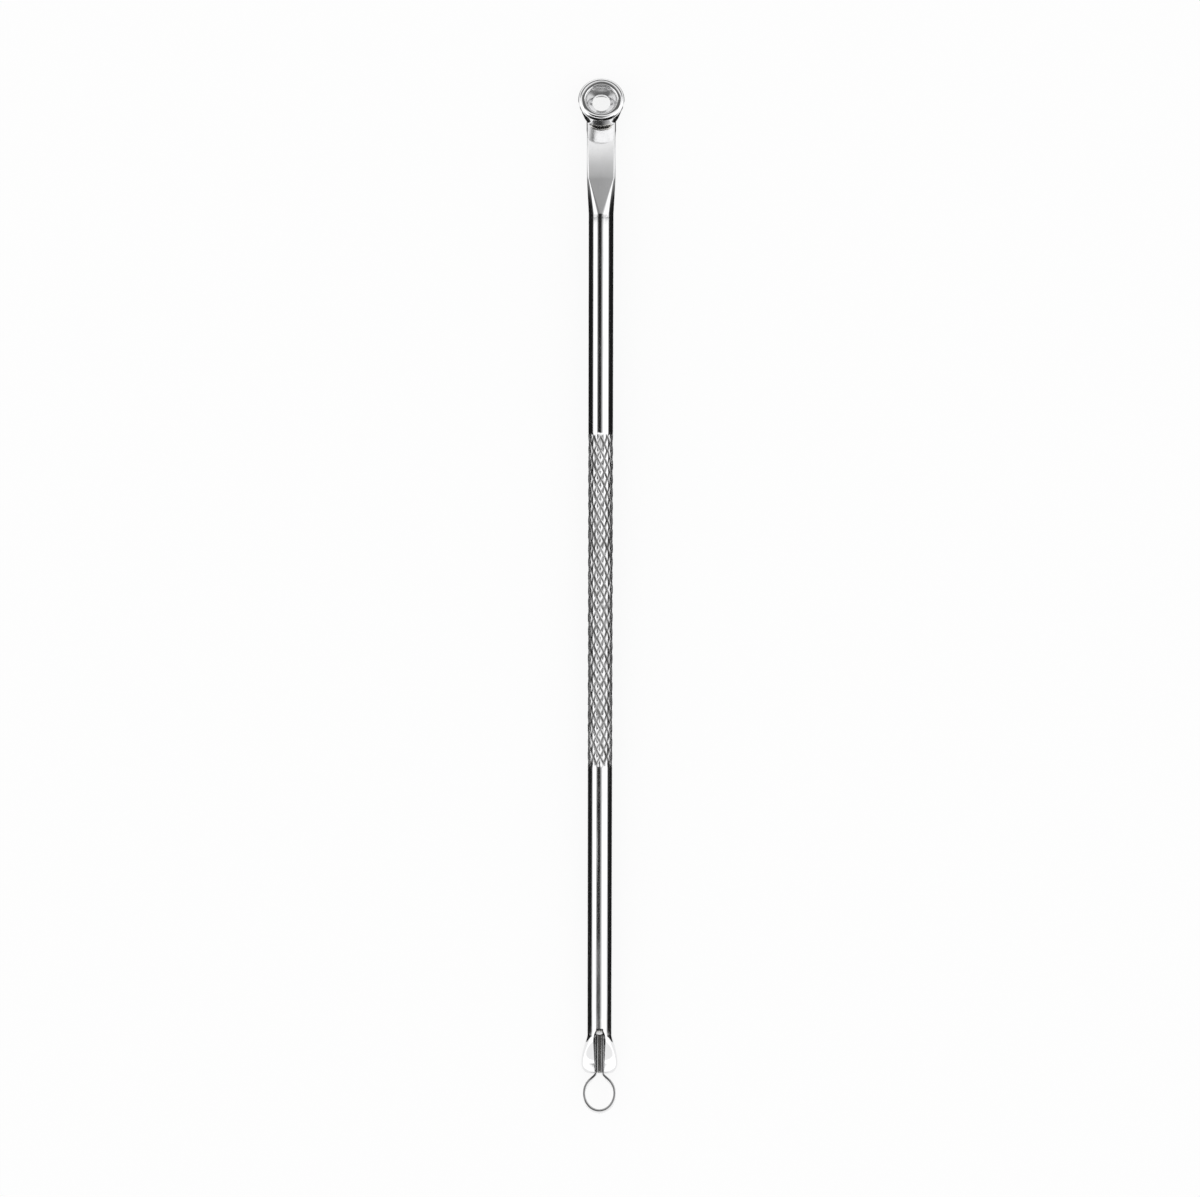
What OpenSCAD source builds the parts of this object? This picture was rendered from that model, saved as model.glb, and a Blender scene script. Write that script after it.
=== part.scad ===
// Double-ended blackhead extractor in stainless steel: a deep round cup with a hole on a
// flattened neck, a knurled grip, and a ribbon loop set in the crimped tail. Millimetres.
// The tool lies at rest on z = 0 and faces +Z, along Y, with its cup at the +Y end.

/* [Rod] */
// Diameter of the round rod that the whole handle is made from
rod_d = 3; // [2.8:0.1:3.3]
// Plain rod between the grip and the neck
head_shank_len = 25.7; // [15:0.1:35]
// Plain rod between the grip and the crimped tail
tail_shank_len = 30.7; // [15:0.1:40]

/* [Grip] */
// Length of the knurled grip
grip_len = 39.4; // [20:0.1:60]
// Grooves round the rod in each hand of the knurl
knurl_starts = 10; // [8:1:12]
// Angle between the grooves and the rod's axis, near which the rows are spaced
knurl_angle = 30; // [25:1:35]
// Depth of the grooves
knurl_depth = 0.16; // [0.08:0.01:0.2]
// Width of a groove at the surface, measured round the rod
knurl_groove_w = 0.42; // [0.3:0.02:0.5]
// Length over which the grooves run out at each end of the grip
knurl_runout = 0.5; // [0.2:0.1:1]

/* [Neck] */
// Width of the flattened neck
neck_w = 3.45; // [3.4:0.05:4]
// Thickness of the flattened neck
neck_t = 0.8; // [0.6:0.05:1]
// Distance by which the neck's sides bulge past its flat faces
neck_bulge = 0.3; // [0.15:0.05:0.4]
// Length of the sloping face where the rod turns into the neck
ramp_len = 4.2; // [3.5:0.1:5]
// Slope of that face
ramp_angle = 14; // [10:1:15]
// Length of the bend, measured along the rod
bend_len = 4; // [3:0.1:6]
// Angle by which the neck and the cup lean back
head_tilt = 22; // [18:1:26]
// Flat neck between the bend and the cup, measured along the rod
neck_len = 1.95; // [1:0.05:5]
// Distance that the neck runs in under the cup
neck_lap = 1.3; // [0.8:0.05:1.5]

/* [Cup] */
// Outer diameter of the cup at its lip
cup_d = 5.44; // [5.2:0.02:6]
// Outer diameter of the cup at its base
cup_base_d = 4.4; // [4.2:0.1:4.8]
// Height of the cup
cup_h = 3.7; // [3.4:0.1:4.2]
// Radius of the rounded lip
lip_r = 0.5; // [0.4:0.02:0.6]
// Diameter of the hole that the blackhead is pressed out through
hole_d = 2.1; // [1.6:0.1:2.4]
// Height of the straight wall round the hole
hole_land = 0.4; // [0.3:0.05:0.6]
// Depth of the cone between the lip and the hole
dish_depth = 0.95; // [0.7:0.05:1.2]
// Diameter of the hollow behind the hole
hollow_d = 3.6; // [3.2:0.1:3.7]
// Chamfer round the base
cup_chamfer = 0.08; // [0.04:0.02:0.12]
// Leg of the brazing fillet between the cup and the neck
fillet_leg = 0.3; // [0.15:0.05:0.4]

/* [Tail] */
// Width of the crimped tail across its two lobes
tail_w = 4.25; // [3.8:0.05:4.6]
// Thickness of the lobes at the end, from the flat back
tail_t = 1.9; // [1.7:0.05:2.2]
// Length of the crimp from the top of its groove to the end
tail_len = 5.35; // [4.8:0.05:6.5]
// Distance from the top of the groove to where the rod starts to spread
spread_start = 0.8; // [0.5:0.1:1.2]
// Length of the lobes' rounded end
lobe_round = 1.2; // [0.8:0.1:1.5]
// Distance that each lobe's corner is drawn in at the end
corner_in = 0.9; // [0.5:0.1:1.1]
// Rounding of the end's upper and lower rims
rim_round = 0.3; // [0.15:0.05:0.4]
// Greatest width of the groove
groove_w = 1.6; // [1.4:0.05:1.7]
// Width of the groove at the end
groove_end_w = 1.1; // [1:0.05:1.25]
// Depth of the groove below the lobes
groove_depth = 0.6; // [0.45:0.05:0.75]
// Height of the ribbon's upper edge above the groove's floor
leg_show = 0.3; // [0.2:0.05:0.35]
// Length of the flat back that the tail lies on
flat_len = 3.2; // [2:0.1:4]

/* [Loop] */
// Outer width of the loop
loop_w = 3.9; // [3.2:0.1:5]
// Length of the loop beyond the tail
loop_len = 4.75; // [4.2:0.05:6.5]
// Length of the oval that the loop's round part follows, along the middle of the ribbon
loop_oval_len = 4.2; // [3.4:0.1:4.2]
// Thickness of the ribbon
ribbon_t = 0.32; // [0.22:0.02:0.36]
// Width of the ribbon
ribbon_w = 0.8; // [0.6:0.05:0.9]
// Rounding of the ribbon's corners
ribbon_round = 0.1; // [0.04:0.01:0.1]
// Clear distance between the ribbon's two legs
leg_gap = 0.4; // [0.3:0.05:0.5]
// Length of each leg inside the tail
leg_len = 4.5; // [2.5:0.1:4.5]
// Angle by which the loop rises from the rod's axis
loop_rise = 18; // [5:1:25]
// Length of the bend where the loop leaves the tail
loop_bend_len = 0.9; // [0.5:0.1:1.5]

/* [Fits] */
// Gap between each leg and the wall of its slot
slot_gap = 0.04; // [0.02:0.01:0.06]
// Gap left at the seam between two joined pieces
seam_gap = 0.02; // [0.01:0.01:0.04]

/* [Hidden] */

steel = "silver";
bright_steel = "gainsboro";
filler = "darkkhaki";

rod_r = rod_d / 2;
// Step down to the formed ends of the rod, and how far they reach into it
blend_step = 0.01;
root_len = 0.3;
formed_r = rod_r - blend_step;
grip_end = grip_len / 2;

// Knurl: half-pitch rows of diamonds that fill the grip between its run-outs
row_len_wanted = PI * rod_d / knurl_starts / tan(knurl_angle) / 2;
knurl_rows = max(4, round((grip_len - 2 * knurl_runout) / row_len_wanted));
row_len = (grip_len - 2 * knurl_runout) / knurl_rows;
start_angle = 360 / knurl_starts;
crest_share = 1 - knurl_groove_w * knurl_starts / (PI * rod_d);
valley_r = rod_r - knurl_depth;

// Neck: distances s run from where the round rod ends, towards the cup
neck_y = grip_end + head_shank_len;
apex_w = 0.04;
bend_end = ramp_len + bend_len;
cup_edge_s = bend_end + neck_len;
neck_end_s = cup_edge_s + neck_lap * cos(head_tilt);
neck_side_steps = 16;
neck_steps = 5;

// Cup: its base lies on the neck's upper face
cup_base_r = cup_base_d / 2;
cup_edge = [0, neck_y + cup_edge_s, neck_top(cup_edge_s)];
cup_across = [0, cos(head_tilt), -sin(head_tilt)];
cup_base_pos = cup_edge + cup_across * cup_base_r;
lip_pos_r = cup_d / 2 - lip_r;
lip_pos_h = cup_h - lip_r;
dish_edge_angle = 15;
dish_top_h = lip_pos_h + lip_r * sin(dish_edge_angle);
hole_top_h = dish_top_h - dish_depth;
hollow_h = hole_top_h - hole_land;
hollow_cut_h = 6 * neck_t;
fillet_hollow_pos = 1.15 * fillet_leg;
round_fn = 96;

// Tail: distances q run from the top of the groove, towards the loop
tail_y = -grip_end - tail_shank_len;
tail_end_y = tail_y - tail_len;
lobe_end_q = tail_len - lobe_round;
spread_power = 1.3;
groove_least = 0.2;
groove_steps = 4;
lobe_steps = 7;
body_steps = 12;
end_steps = 7;
groove_square = 6;
lobe_square = 2.2;
back_square = 6;
lobe_top = tail_t - rod_r;
groove_floor = lobe_top - groove_depth;
table_cut = [3 * tail_w, 2 * tail_len, rod_d];

// Loop: distances t run from the tail's end along the ribbon's rising centre surface
leg_x = (leg_gap + ribbon_t) / 2;
leg_z = groove_floor + leg_show - ribbon_w / 2;
loop_half_w = (loop_w - ribbon_t) / 2;
loop_tip_t = loop_len - ribbon_t / 2;
loop_half_len = loop_oval_len / 2;
splay_angle = 42;
splay_start = 0.15;
splay_pull = 0.45;
corner_steps = 2;
loop_steps = 36;
splay_steps = 7;
slot_half_w = leg_x + ribbon_t / 2 + slot_gap;
slot_half_h = ribbon_w / 2 + slot_gap;
leg_braze_w = leg_gap - 2 * seam_gap;
meniscus_d = 0.9 * leg_braze_w;

// Rest: the tool lies on the edge of its cup's base and on the flat back of its tail
cup_low = cup_edge + cup_across * (cup_base_d - cup_chamfer);
flat_start_y = tail_end_y + flat_len;
rest_angle = atan((-rod_r - cup_low[2]) / (cup_low[1] - flat_start_y));
rest_lift = rod_r * cos(rest_angle) - flat_start_y * sin(rest_angle);
lip_far_y = cup_base_pos[1] + lip_pos_h * sin(head_tilt) + lip_pos_r * cos(head_tilt) + lip_r;
loop_far_y = tail_end_y - rise_y(loop_tip_t) - ribbon_w / 2 * sin(loop_rise);
middle_y = (lip_far_y + loop_far_y) / 2;

// Closed skin over rings of points. An end is closed by steps that join its ring's two halves
function ring_wall(n, i) = [for (j = [0 : n - 1]) let(k = (j + 1) % n)
    each [[i * n + j, i * n + k, (i + 1) * n + k], [i * n + j, (i + 1) * n + k, (i + 1) * n + j]]];
function ring_cap(n, first) = [for (j = [0 : n / 2 - 2]) let(a = first + j, c = first + n - 2 - j)
    each [[a, a + 1, c + 1], [a + 1, c, c + 1]]];
function turned(faces) = [for (f = faces) [f[2], f[1], f[0]]];

module skin(rings) {
    n = len(rings[0]);
    last = len(rings) - 1;
    walls = [for (i = [0 : last - 1]) each ring_wall(n, i)];
    caps = concat(turned(ring_cap(n, 0)), ring_cap(n, last * n));
    polyhedron([for (ring = rings) each ring], concat(walls, caps), convexity = 4);
}

// Heights of the neck's upper and lower faces
function neck_top(s) = let(
    ramp = tan(ramp_angle),
    tilt = tan(head_tilt),
    b = min(max(s - ramp_len, 0), bend_len))
    rod_r - ramp * max(min(s, ramp_len), 0) - ramp * b - (tilt - ramp) * b * b / (2 * bend_len)
    - tilt * max(s - bend_end, 0);
function neck_bottom(s) = let(
    v = min(max(s / bend_end, 0), 1),
    end = neck_top(bend_end) - neck_t / cos(head_tilt))
    -rod_r * (1 - 3 * v * v + 2 * v * v * v) + end * (3 * v * v - 2 * v * v * v)
    - bend_end * tan(head_tilt) * (v * v * v - v * v) - tan(head_tilt) * max(s - bend_end, 0);

// Section of the neck: flat faces joined by bulging sides
function neck_ring(s) = let(
    v = min(max(s / ramp_len, 0), 1),
    flat = apex_w / 2 * (1 - v) + (neck_w / 2 - neck_bulge) * v,
    side = formed_r * (1 - v) + neck_w / 2 * v - flat,
    top = neck_top(s) - blend_step,
    bottom = neck_bottom(s) + blend_step,
    mid = (top + bottom) / 2,
    half = (top - bottom) / 2)
    [for (end = [1, -1], i = [0 : neck_side_steps]) let(a = 90 - 180 * i / neck_side_steps)
        [end * (flat + side * cos(a)), neck_y + s, mid + end * half * sin(a)]];

module neck() {
    bend_stops = [for (i = [2 * neck_steps : -1 : 1]) ramp_len + bend_len * i / (2 * neck_steps)];
    ramp_stops = [for (i = [neck_steps : -1 : 0]) ramp_len * i / neck_steps];
    stops = concat([neck_end_s], bend_stops, ramp_stops, [-root_len]);
    skin([for (s = stops) neck_ring(s)]);
}

// Knurl: every diamond is a truncated pyramid between four crossings of the grooves
function on_rod(r, a, y) = [r * sin(a), y, r * cos(a)];
function row_y(k) = knurl_runout - grip_end + k * row_len;
function cell_angle(k, j) = start_angle * (j + (k % 2) / 2);
function crossing(k, j) = k * knurl_starts + (j + knurl_starts) % knurl_starts;
function cell(k, j) = (knurl_rows + 1 + 4 * k) * knurl_starts + 4 * ((j + knurl_starts) % knurl_starts);
function end_ring(n) = (5 * knurl_rows + 5) * knurl_starts + 4 * knurl_starts * n;
function quad(a, b, c, d) = [[a, b, c], [a, c, d]];

// Crest points of a cell: left, lower, right, upper. A row at an end has a middle point instead
// of the one outside the grip.
function crest_points(k, j) = let(
    a = cell_angle(k, j),
    w = crest_share * start_angle / 2,
    h = crest_share * row_len,
    low = k == 0 ? 0 : h,
    high = k == knurl_rows ? 0 : h)
    [on_rod(rod_r, a - w, row_y(k)), on_rod(rod_r, a, row_y(k) - low),
     on_rod(rod_r, a + w, row_y(k)), on_rod(rod_r, a, row_y(k) + high)];

function cell_faces(k, j) = let(
    c = cell(k, j),
    left = crossing(k, j - 1),
    right = crossing(k, j),
    lower = crossing(k - 1, j + k % 2 - 1),
    upper = crossing(k + 1, j + k % 2 - 1))
    concat(
        [[c, c + 3, c + 1], [c + 1, c + 3, c + 2]],
        k > 0 ? quad(left, c, c + 1, lower) : [],
        k > 0 ? quad(lower, c + 1, c + 2, right) : [],
        k < knurl_rows ? quad(right, c + 2, c + 3, upper) : [],
        k < knurl_rows ? quad(upper, c + 3, c, left) : []);

// Edge of the diamonds along an end row, and the plain ring that its grooves run out to
function end_edge(k) = [for (j = [0 : knurl_starts - 1]) let(c = cell(k, j))
    each [crossing(k, j - 1), c, c + (k == 0 ? 1 : 3), c + 2]];
function plain_ring(k, y) = [for (j = [0 : knurl_starts - 1], w = [-1, -crest_share, 0, crest_share])
    on_rod(formed_r, cell_angle(k, j) + w * start_angle / 2, y)];
function belt(low, high) = [for (i = [0 : len(low) - 1]) let(n = (i + 1) % len(low))
    each quad(low[i], high[i], high[n], low[n])];
function run(first, count) = [for (i = [0 : count - 1]) first + i];

module knurled_grip() {
    n = 4 * knurl_starts;
    last = knurl_rows;
    crossings = [for (k = [0 : last], j = [0 : knurl_starts - 1])
        on_rod(valley_r, cell_angle(k, j) + start_angle / 2, row_y(k))];
    crests = [for (k = [0 : last], j = [0 : knurl_starts - 1]) each crest_points(k, j)];
    plain = concat(
        plain_ring(0, -grip_end), plain_ring(0, -grip_end - root_len),
        plain_ring(last, grip_end), plain_ring(last, grip_end + root_len));
    ends = [[0, -grip_end - root_len, 0], [0, grip_end + root_len, 0]];
    low_rings = [run(end_ring(1), n), run(end_ring(0), n), end_edge(0)];
    high_rings = [end_edge(last), run(end_ring(2), n), run(end_ring(3), n)];
    low_middle = end_ring(4);
    high_middle = low_middle + 1;
    faces = concat(
        [for (k = [0 : last], j = [0 : knurl_starts - 1]) each cell_faces(k, j)],
        [for (rings = [low_rings, high_rings], i = [0, 1]) each belt(rings[i], rings[i + 1])],
        [for (i = [0 : n - 1]) [low_rings[0][i], low_rings[0][(i + 1) % n], low_middle]],
        [for (i = [0 : n - 1]) [high_rings[2][(i + 1) % n], high_rings[2][i], high_middle]]);
    polyhedron(concat(crossings, crests, plain, ends), faces, convexity = 6);
}

// Tail: plan and side view of the crimp
function tail_half_w(q) = let(
    v = min(max((q - spread_start) / (lobe_end_q - spread_start), 0), 1),
    u = min(max((q - lobe_end_q) / lobe_round, 0), 1))
    formed_r + (tail_w / 2 - formed_r) * pow(sin(90 * v), spread_power) - corner_in * (1 - sqrt(1 - u * u));
function rim_drop(q) = let(u = min(max((q - tail_len + rim_round) / rim_round, 0), 1))
    rim_round * (1 - sqrt(1 - u * u));
function tail_squash(q) = let(v = min(max((q - spread_start) / (lobe_end_q - spread_start), 0), 1))
    (1 - cos(180 * v)) / 2;
function tail_top(q) = formed_r + (lobe_top - formed_r) * tail_squash(q) - rim_drop(q);
function tail_bottom(q) = rim_drop(q) - formed_r;

// Groove: it starts rounded, narrows towards the end, and has a level floor and steep walls
function groove_start(q) = let(u = 1 - min(max(q / (2 * spread_start), 0), 1)) sqrt(1 - u * u);
function groove_half_w(q) = max(groove_start(q), groove_least) / 2
    * (groove_w + (groove_end_w - groove_w) * min(max(q / tail_len, 0), 1));
function groove_fall(q, x) = (tail_top(q) - groove_floor) * groove_start(q)
    * max(1 - pow(abs(x) / groove_half_w(q), groove_square), 0);

// Section of the tail: a rounded box with the groove pressed into its upper side
function tail_x(q, i) = let(g = groove_half_w(q), beyond = abs(i) - groove_steps)
    beyond <= 0 ? g * sin(90 * i / groove_steps)
    : sign(i) * (g + (tail_half_w(q) - g) * sin(90 * beyond / lobe_steps));
function tail_ring(q) = let(
    m = groove_steps + lobe_steps,
    squash = tail_squash(q),
    mid = (tail_top(q) + tail_bottom(q)) / 2,
    half = (tail_top(q) - tail_bottom(q)) / 2)
    [for (side = [1, -1], i = [side > 0 ? -m : 1 - m : side > 0 ? m : m - 1]) let(
        x = tail_x(q, side * i),
        power = 2 + ((side > 0 ? lobe_square : back_square) - 2) * squash,
        rise = half * pow(max(1 - pow(abs(x) / tail_half_w(q), power), 0), 1 / power))
        [x, tail_y - q, side > 0 ? mid + rise - groove_fall(q, x) : mid - rise]];

module crimped_end() {
    body_stops = [for (i = [0 : body_steps]) lobe_end_q * i / body_steps];
    end_stops = [for (i = [1 : end_steps]) lobe_end_q + lobe_round * sin(90 * i / end_steps)];
    skin([for (q = concat([-root_len], body_stops, end_stops)) tail_ring(q)]);
}

// Space below the table, in the tool's own frame
module table() {
    translate([0, flat_start_y, -rod_r])
        rotate([-rest_angle, 0, 0])
            translate([-table_cut[0] / 2, -table_cut[1], -table_cut[2]])
                cube(table_cut);
}

module loop_slot() {
    translate([-slot_half_w, tail_end_y - root_len, leg_z - slot_half_h])
        cube([2 * slot_half_w, root_len + leg_len + slot_gap, 2 * slot_half_h]);
}

// Loop: its centre surface runs straight out of the tail and then bends up
function rise_angle(t) = loop_rise * min(max(t / loop_bend_len, 0), 1);
function rise_y(t) = let(r = loop_bend_len / loop_rise * 180 / PI)
    min(t, 0) + r * sin(rise_angle(t)) + max(t - loop_bend_len, 0) * cos(loop_rise);
function rise_z(t) = let(r = loop_bend_len / loop_rise * 180 / PI)
    r * (1 - cos(rise_angle(t))) + max(t - loop_bend_len, 0) * sin(loop_rise);

// Path of the ribbon across its centre surface, as points and directions in x and t
function oval_point(a) = [loop_half_w * sin(a), loop_tip_t - loop_half_len * (1 + cos(a))];
function oval_way(a) = [loop_half_w * cos(a), loop_half_len * sin(a)];
function unit(v) = v / norm(v);
function splay_points() = let(p = oval_point(splay_angle), w = unit(oval_way(splay_angle)))
    [[leg_x, -splay_start], [leg_x, splay_start], p - w * splay_pull, p];
function curve_point(c, u) = c[0] * pow(1 - u, 3) + 3 * c[1] * u * pow(1 - u, 2)
    + 3 * c[2] * u * u * (1 - u) + c[3] * pow(u, 3);
function curve_way(c, u) = unit((c[1] - c[0]) * pow(1 - u, 2) + 2 * (c[2] - c[1]) * u * (1 - u)
    + (c[3] - c[2]) * u * u);
function right_leg() = let(c = splay_points()) concat(
    [[[leg_x, -leg_len], [0, 1]]],
    [for (i = [0 : splay_steps - 1]) [curve_point(c, i / splay_steps), curve_way(c, i / splay_steps)]]);
function oval() = [for (i = [0 : loop_steps]) let(a = splay_angle + (360 - 2 * splay_angle) * i / loop_steps)
    [oval_point(a), unit(oval_way(a))]];
function mirrored(path) = [for (i = [len(path) - 1 : -1 : 0]) let(p = path[i])
    [[-p[0][0], p[0][1]], [p[1][0], -p[1][1]]]];

// Section of the ribbon at a point of the path: flat, with rounded corners
function ribbon_ring(p) = let(
    rise = rise_angle(p[0][1]),
    out = [0, -cos(rise), sin(rise)],
    up = [0, sin(rise), cos(rise)],
    across = out * p[1][0] - [1, 0, 0] * p[1][1],
    middle = [p[0][0], tail_end_y - rise_y(p[0][1]), leg_z + rise_z(p[0][1])])
    [for (corner = [0 : 3], i = [0 : corner_steps]) let(
        a = 90 * (corner + i / corner_steps),
        side = corner == 0 || corner == 3 ? 1 : -1,
        level = corner < 2 ? 1 : -1)
        middle + across * (side * (ribbon_t / 2 - ribbon_round) + ribbon_round * cos(a))
        + up * (level * (ribbon_w / 2 - ribbon_round) + ribbon_round * sin(a))];

// Turned profile of the cup: distance from its axis, and height above its base
module cup_profile() {
    difference() {
        union() {
            polygon([
                [0, 0],
                [cup_base_r - cup_chamfer, 0],
                [cup_base_r, cup_chamfer],
                [cup_d / 2, lip_pos_h],
                [0, lip_pos_h]]);
            translate([lip_pos_r, lip_pos_h])
                circle(lip_r, $fn = round_fn);
        }
        square([hollow_d, 2 * hollow_h], center = true);
        square([hole_d / 2, 2 * cup_h], center = false);
        polygon([
            [0, hole_top_h],
            [hole_d / 2, hole_top_h],
            [lip_pos_r - lip_r * cos(dish_edge_angle), dish_top_h],
            [0, dish_top_h]]);
    }
}

// Places what is drawn upright on the neck where the cup stands
module on_neck() {
    translate(cup_base_pos)
        rotate([-head_tilt, 0, 0])
            children();
}

// Puts the finished piece on the table, over the middle of the tool
module at_rest() {
    translate([0, -middle_y * cos(rest_angle), rest_lift])
        rotate([rest_angle, 0, 0])
            children();
}

module shank(from_y, to_y) {
    translate([0, from_y, 0])
        rotate([-90, 0, 0])
            cylinder(d = rod_d, h = to_y - from_y, $fn = round_fn);
}

module handle() {
    color(steel)
        at_rest() {
            knurled_grip();
            shank(grip_end, neck_y);
            shank(tail_y, -grip_end);
            difference() {
                neck();
                on_neck()
                    cylinder(d = hollow_d, h = hollow_cut_h, center = true, $fn = round_fn);
            }
            difference() {
                crimped_end();
                table();
                loop_slot();
            }
        }
}

module extractor_cup() {
    color(bright_steel)
        at_rest()
            on_neck()
                translate([0, 0, seam_gap])
                    rotate_extrude($fn = round_fn)
                        cup_profile();
}

// Fillet of brazing metal round the near side of the cup, on the neck
module cup_braze() {
    wall_lean = (cup_d / 2 - cup_base_r) / lip_pos_h;
    foot_r = cup_base_r + seam_gap;
    reach = asin((neck_w / 2 - neck_bulge) / (foot_r + fillet_leg));
    color(filler)
        at_rest()
            on_neck()
                translate([0, 0, seam_gap])
                    rotate([0, 0, -90 - reach])
                        rotate_extrude(angle = 2 * reach, $fn = round_fn)
                            difference() {
                                polygon([
                                    [foot_r, 0],
                                    [foot_r + fillet_leg, 0],
                                    [foot_r + fillet_leg * wall_lean, fillet_leg]]);
                                translate([foot_r + fillet_hollow_pos, fillet_hollow_pos])
                                    circle(fillet_leg, $fn = round_fn);
                            }
}

module ribbon_loop() {
    half = right_leg();
    path = concat(half, oval(), mirrored(half));
    color(bright_steel)
        at_rest()
            skin([for (p = path) ribbon_ring(p)]);
}

// Brazing metal between the two legs, hollowed where it ends at the mouth of the slot
module loop_braze() {
    color(filler)
        at_rest()
            translate([0, tail_end_y, leg_z - ribbon_w / 2])
                linear_extrude(ribbon_w)
                    difference() {
                        translate([-leg_braze_w / 2, 0])
                            square([leg_braze_w, leg_len]);
                        circle(d = meniscus_d, $fn = round_fn);
                    }
}

handle();
extractor_cup();
cup_braze();
ribbon_loop();
loop_braze();
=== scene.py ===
"""Visual model of a double-ended blackhead extractor in polished stainless steel.

Sizes are in millimetres. Meshes are made in the tool's own frame: its rod runs along Y, it faces
+Z, and the middle of its grip is the origin. Resting.matrix lays them on the table.
"""

import logging
import math
from dataclasses import dataclass
from enum import Enum
from typing import ClassVar, Optional, Sequence, Union

import bpy
import numpy as np
from mathutils import Matrix, Vector


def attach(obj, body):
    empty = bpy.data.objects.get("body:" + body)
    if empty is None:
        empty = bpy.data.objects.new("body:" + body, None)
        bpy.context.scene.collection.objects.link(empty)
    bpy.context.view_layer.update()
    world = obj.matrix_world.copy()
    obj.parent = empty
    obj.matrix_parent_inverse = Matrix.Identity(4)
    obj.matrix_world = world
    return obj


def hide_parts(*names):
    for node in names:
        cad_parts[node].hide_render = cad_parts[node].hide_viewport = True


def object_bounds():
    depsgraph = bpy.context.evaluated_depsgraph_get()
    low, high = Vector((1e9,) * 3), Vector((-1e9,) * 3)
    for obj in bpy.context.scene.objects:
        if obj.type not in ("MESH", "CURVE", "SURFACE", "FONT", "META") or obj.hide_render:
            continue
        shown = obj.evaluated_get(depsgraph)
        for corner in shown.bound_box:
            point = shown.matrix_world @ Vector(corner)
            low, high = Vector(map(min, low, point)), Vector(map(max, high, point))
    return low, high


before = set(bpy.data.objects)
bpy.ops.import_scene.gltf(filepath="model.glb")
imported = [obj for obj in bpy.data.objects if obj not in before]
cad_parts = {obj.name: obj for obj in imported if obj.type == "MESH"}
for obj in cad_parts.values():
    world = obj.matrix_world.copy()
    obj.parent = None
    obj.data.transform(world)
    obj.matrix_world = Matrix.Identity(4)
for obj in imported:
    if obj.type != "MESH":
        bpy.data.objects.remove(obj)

Object = bpy.types.Object
Material = bpy.types.Material
Node = bpy.types.Node
NodeTree = bpy.types.NodeTree
Socket = bpy.types.NodeSocket
Numbers = Union[float, np.ndarray]
Value = Union[Socket, float, Sequence[float]]

LOG = logging.getLogger("extractor")
# Metres in a millimetre.
MM = 0.001
# Points round the handle's skin.
RING = 160
# Attribute that keeps each point's place in the tool's own frame, in millimetres.
OWN_PLACE = "own_place"
# Box of the solids, read before any piece is added, and how far the pieces stay inside it, in metres.
CAD_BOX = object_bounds()
BOX_MARGIN = 1e-7


def clamp01(value: Numbers) -> Numbers:
    """Limits a number or an array to 0 to 1."""
    return np.clip(value, 0.0, 1.0)


# Sizes of the tool


@dataclass(frozen=True)
class Rod:
    """Round rod and the grip that is rolled into its middle."""

    radius: float = 1.5
    grip_len: float = 39.4
    head_shank_len: float = 25.7
    tail_shank_len: float = 30.7

    @property
    def grip_end(self) -> float:
        """Distance from the grip's middle to its end."""
        return self.grip_len / 2

    @property
    def neck_y(self) -> float:
        """Where the round rod ends and the neck begins."""
        return self.grip_end + self.head_shank_len

    @property
    def tail_y(self) -> float:
        """Where the round rod ends and the crimp begins."""
        return -self.grip_end - self.tail_shank_len


@dataclass(frozen=True)
class Knurl:
    """Diamond knurl: grooves of two hands that cross.

    Attributes:
        starts: Number of grooves of each hand round the rod.
        angle: Slope of the grooves to the rod, in degrees.
        depth: Depth of the first hand's grooves.
        groove_w: Width of a groove, measured round the rod.
        runout: Length over which the grooves fade out at each end.
        steps: Rings in a row of diamonds.
        unevenness: Largest share of the depth that a diamond's grooves lack.
        second_hand: Depth of the second hand's grooves as a share of the first's.
        edge_round: Share of a groove's side that its upper edge is rounded over.
        dome: Drop of a crest from its middle to its edge.
        lean: Measure of how far a crest lies lower and leans.
        cell_rows: Rows of diamonds after which their unevenness repeats.
        seed: Start of the random numbers for the unevenness.
    """

    starts: int = 10
    angle: float = 30.0
    depth: float = 0.16
    groove_w: float = 0.42
    runout: float = 0.5
    steps: int = 8
    unevenness: float = 0.12
    second_hand: float = 0.7
    edge_round: float = 0.12
    dome: float = 0.03
    lean: float = 0.028
    cell_rows: int = 97
    seed: int = 4

    def rows(self, rod: Rod) -> int:
        """Number of half-pitch rows of diamonds."""
        wanted = math.pi * 2 * rod.radius / self.starts / math.tan(math.radians(self.angle)) / 2
        return max(4, round((rod.grip_len - 2 * self.runout) / wanted))

    def row_len(self, rod: Rod) -> float:
        """Length of one row along the rod."""
        return (rod.grip_len - 2 * self.runout) / self.rows(rod)

    def crest_share(self, rod: Rod) -> float:
        """Share of the pitch that the flat crest of a diamond takes."""
        return 1 - self.groove_w * self.starts / (math.pi * 2 * rod.radius)


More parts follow.
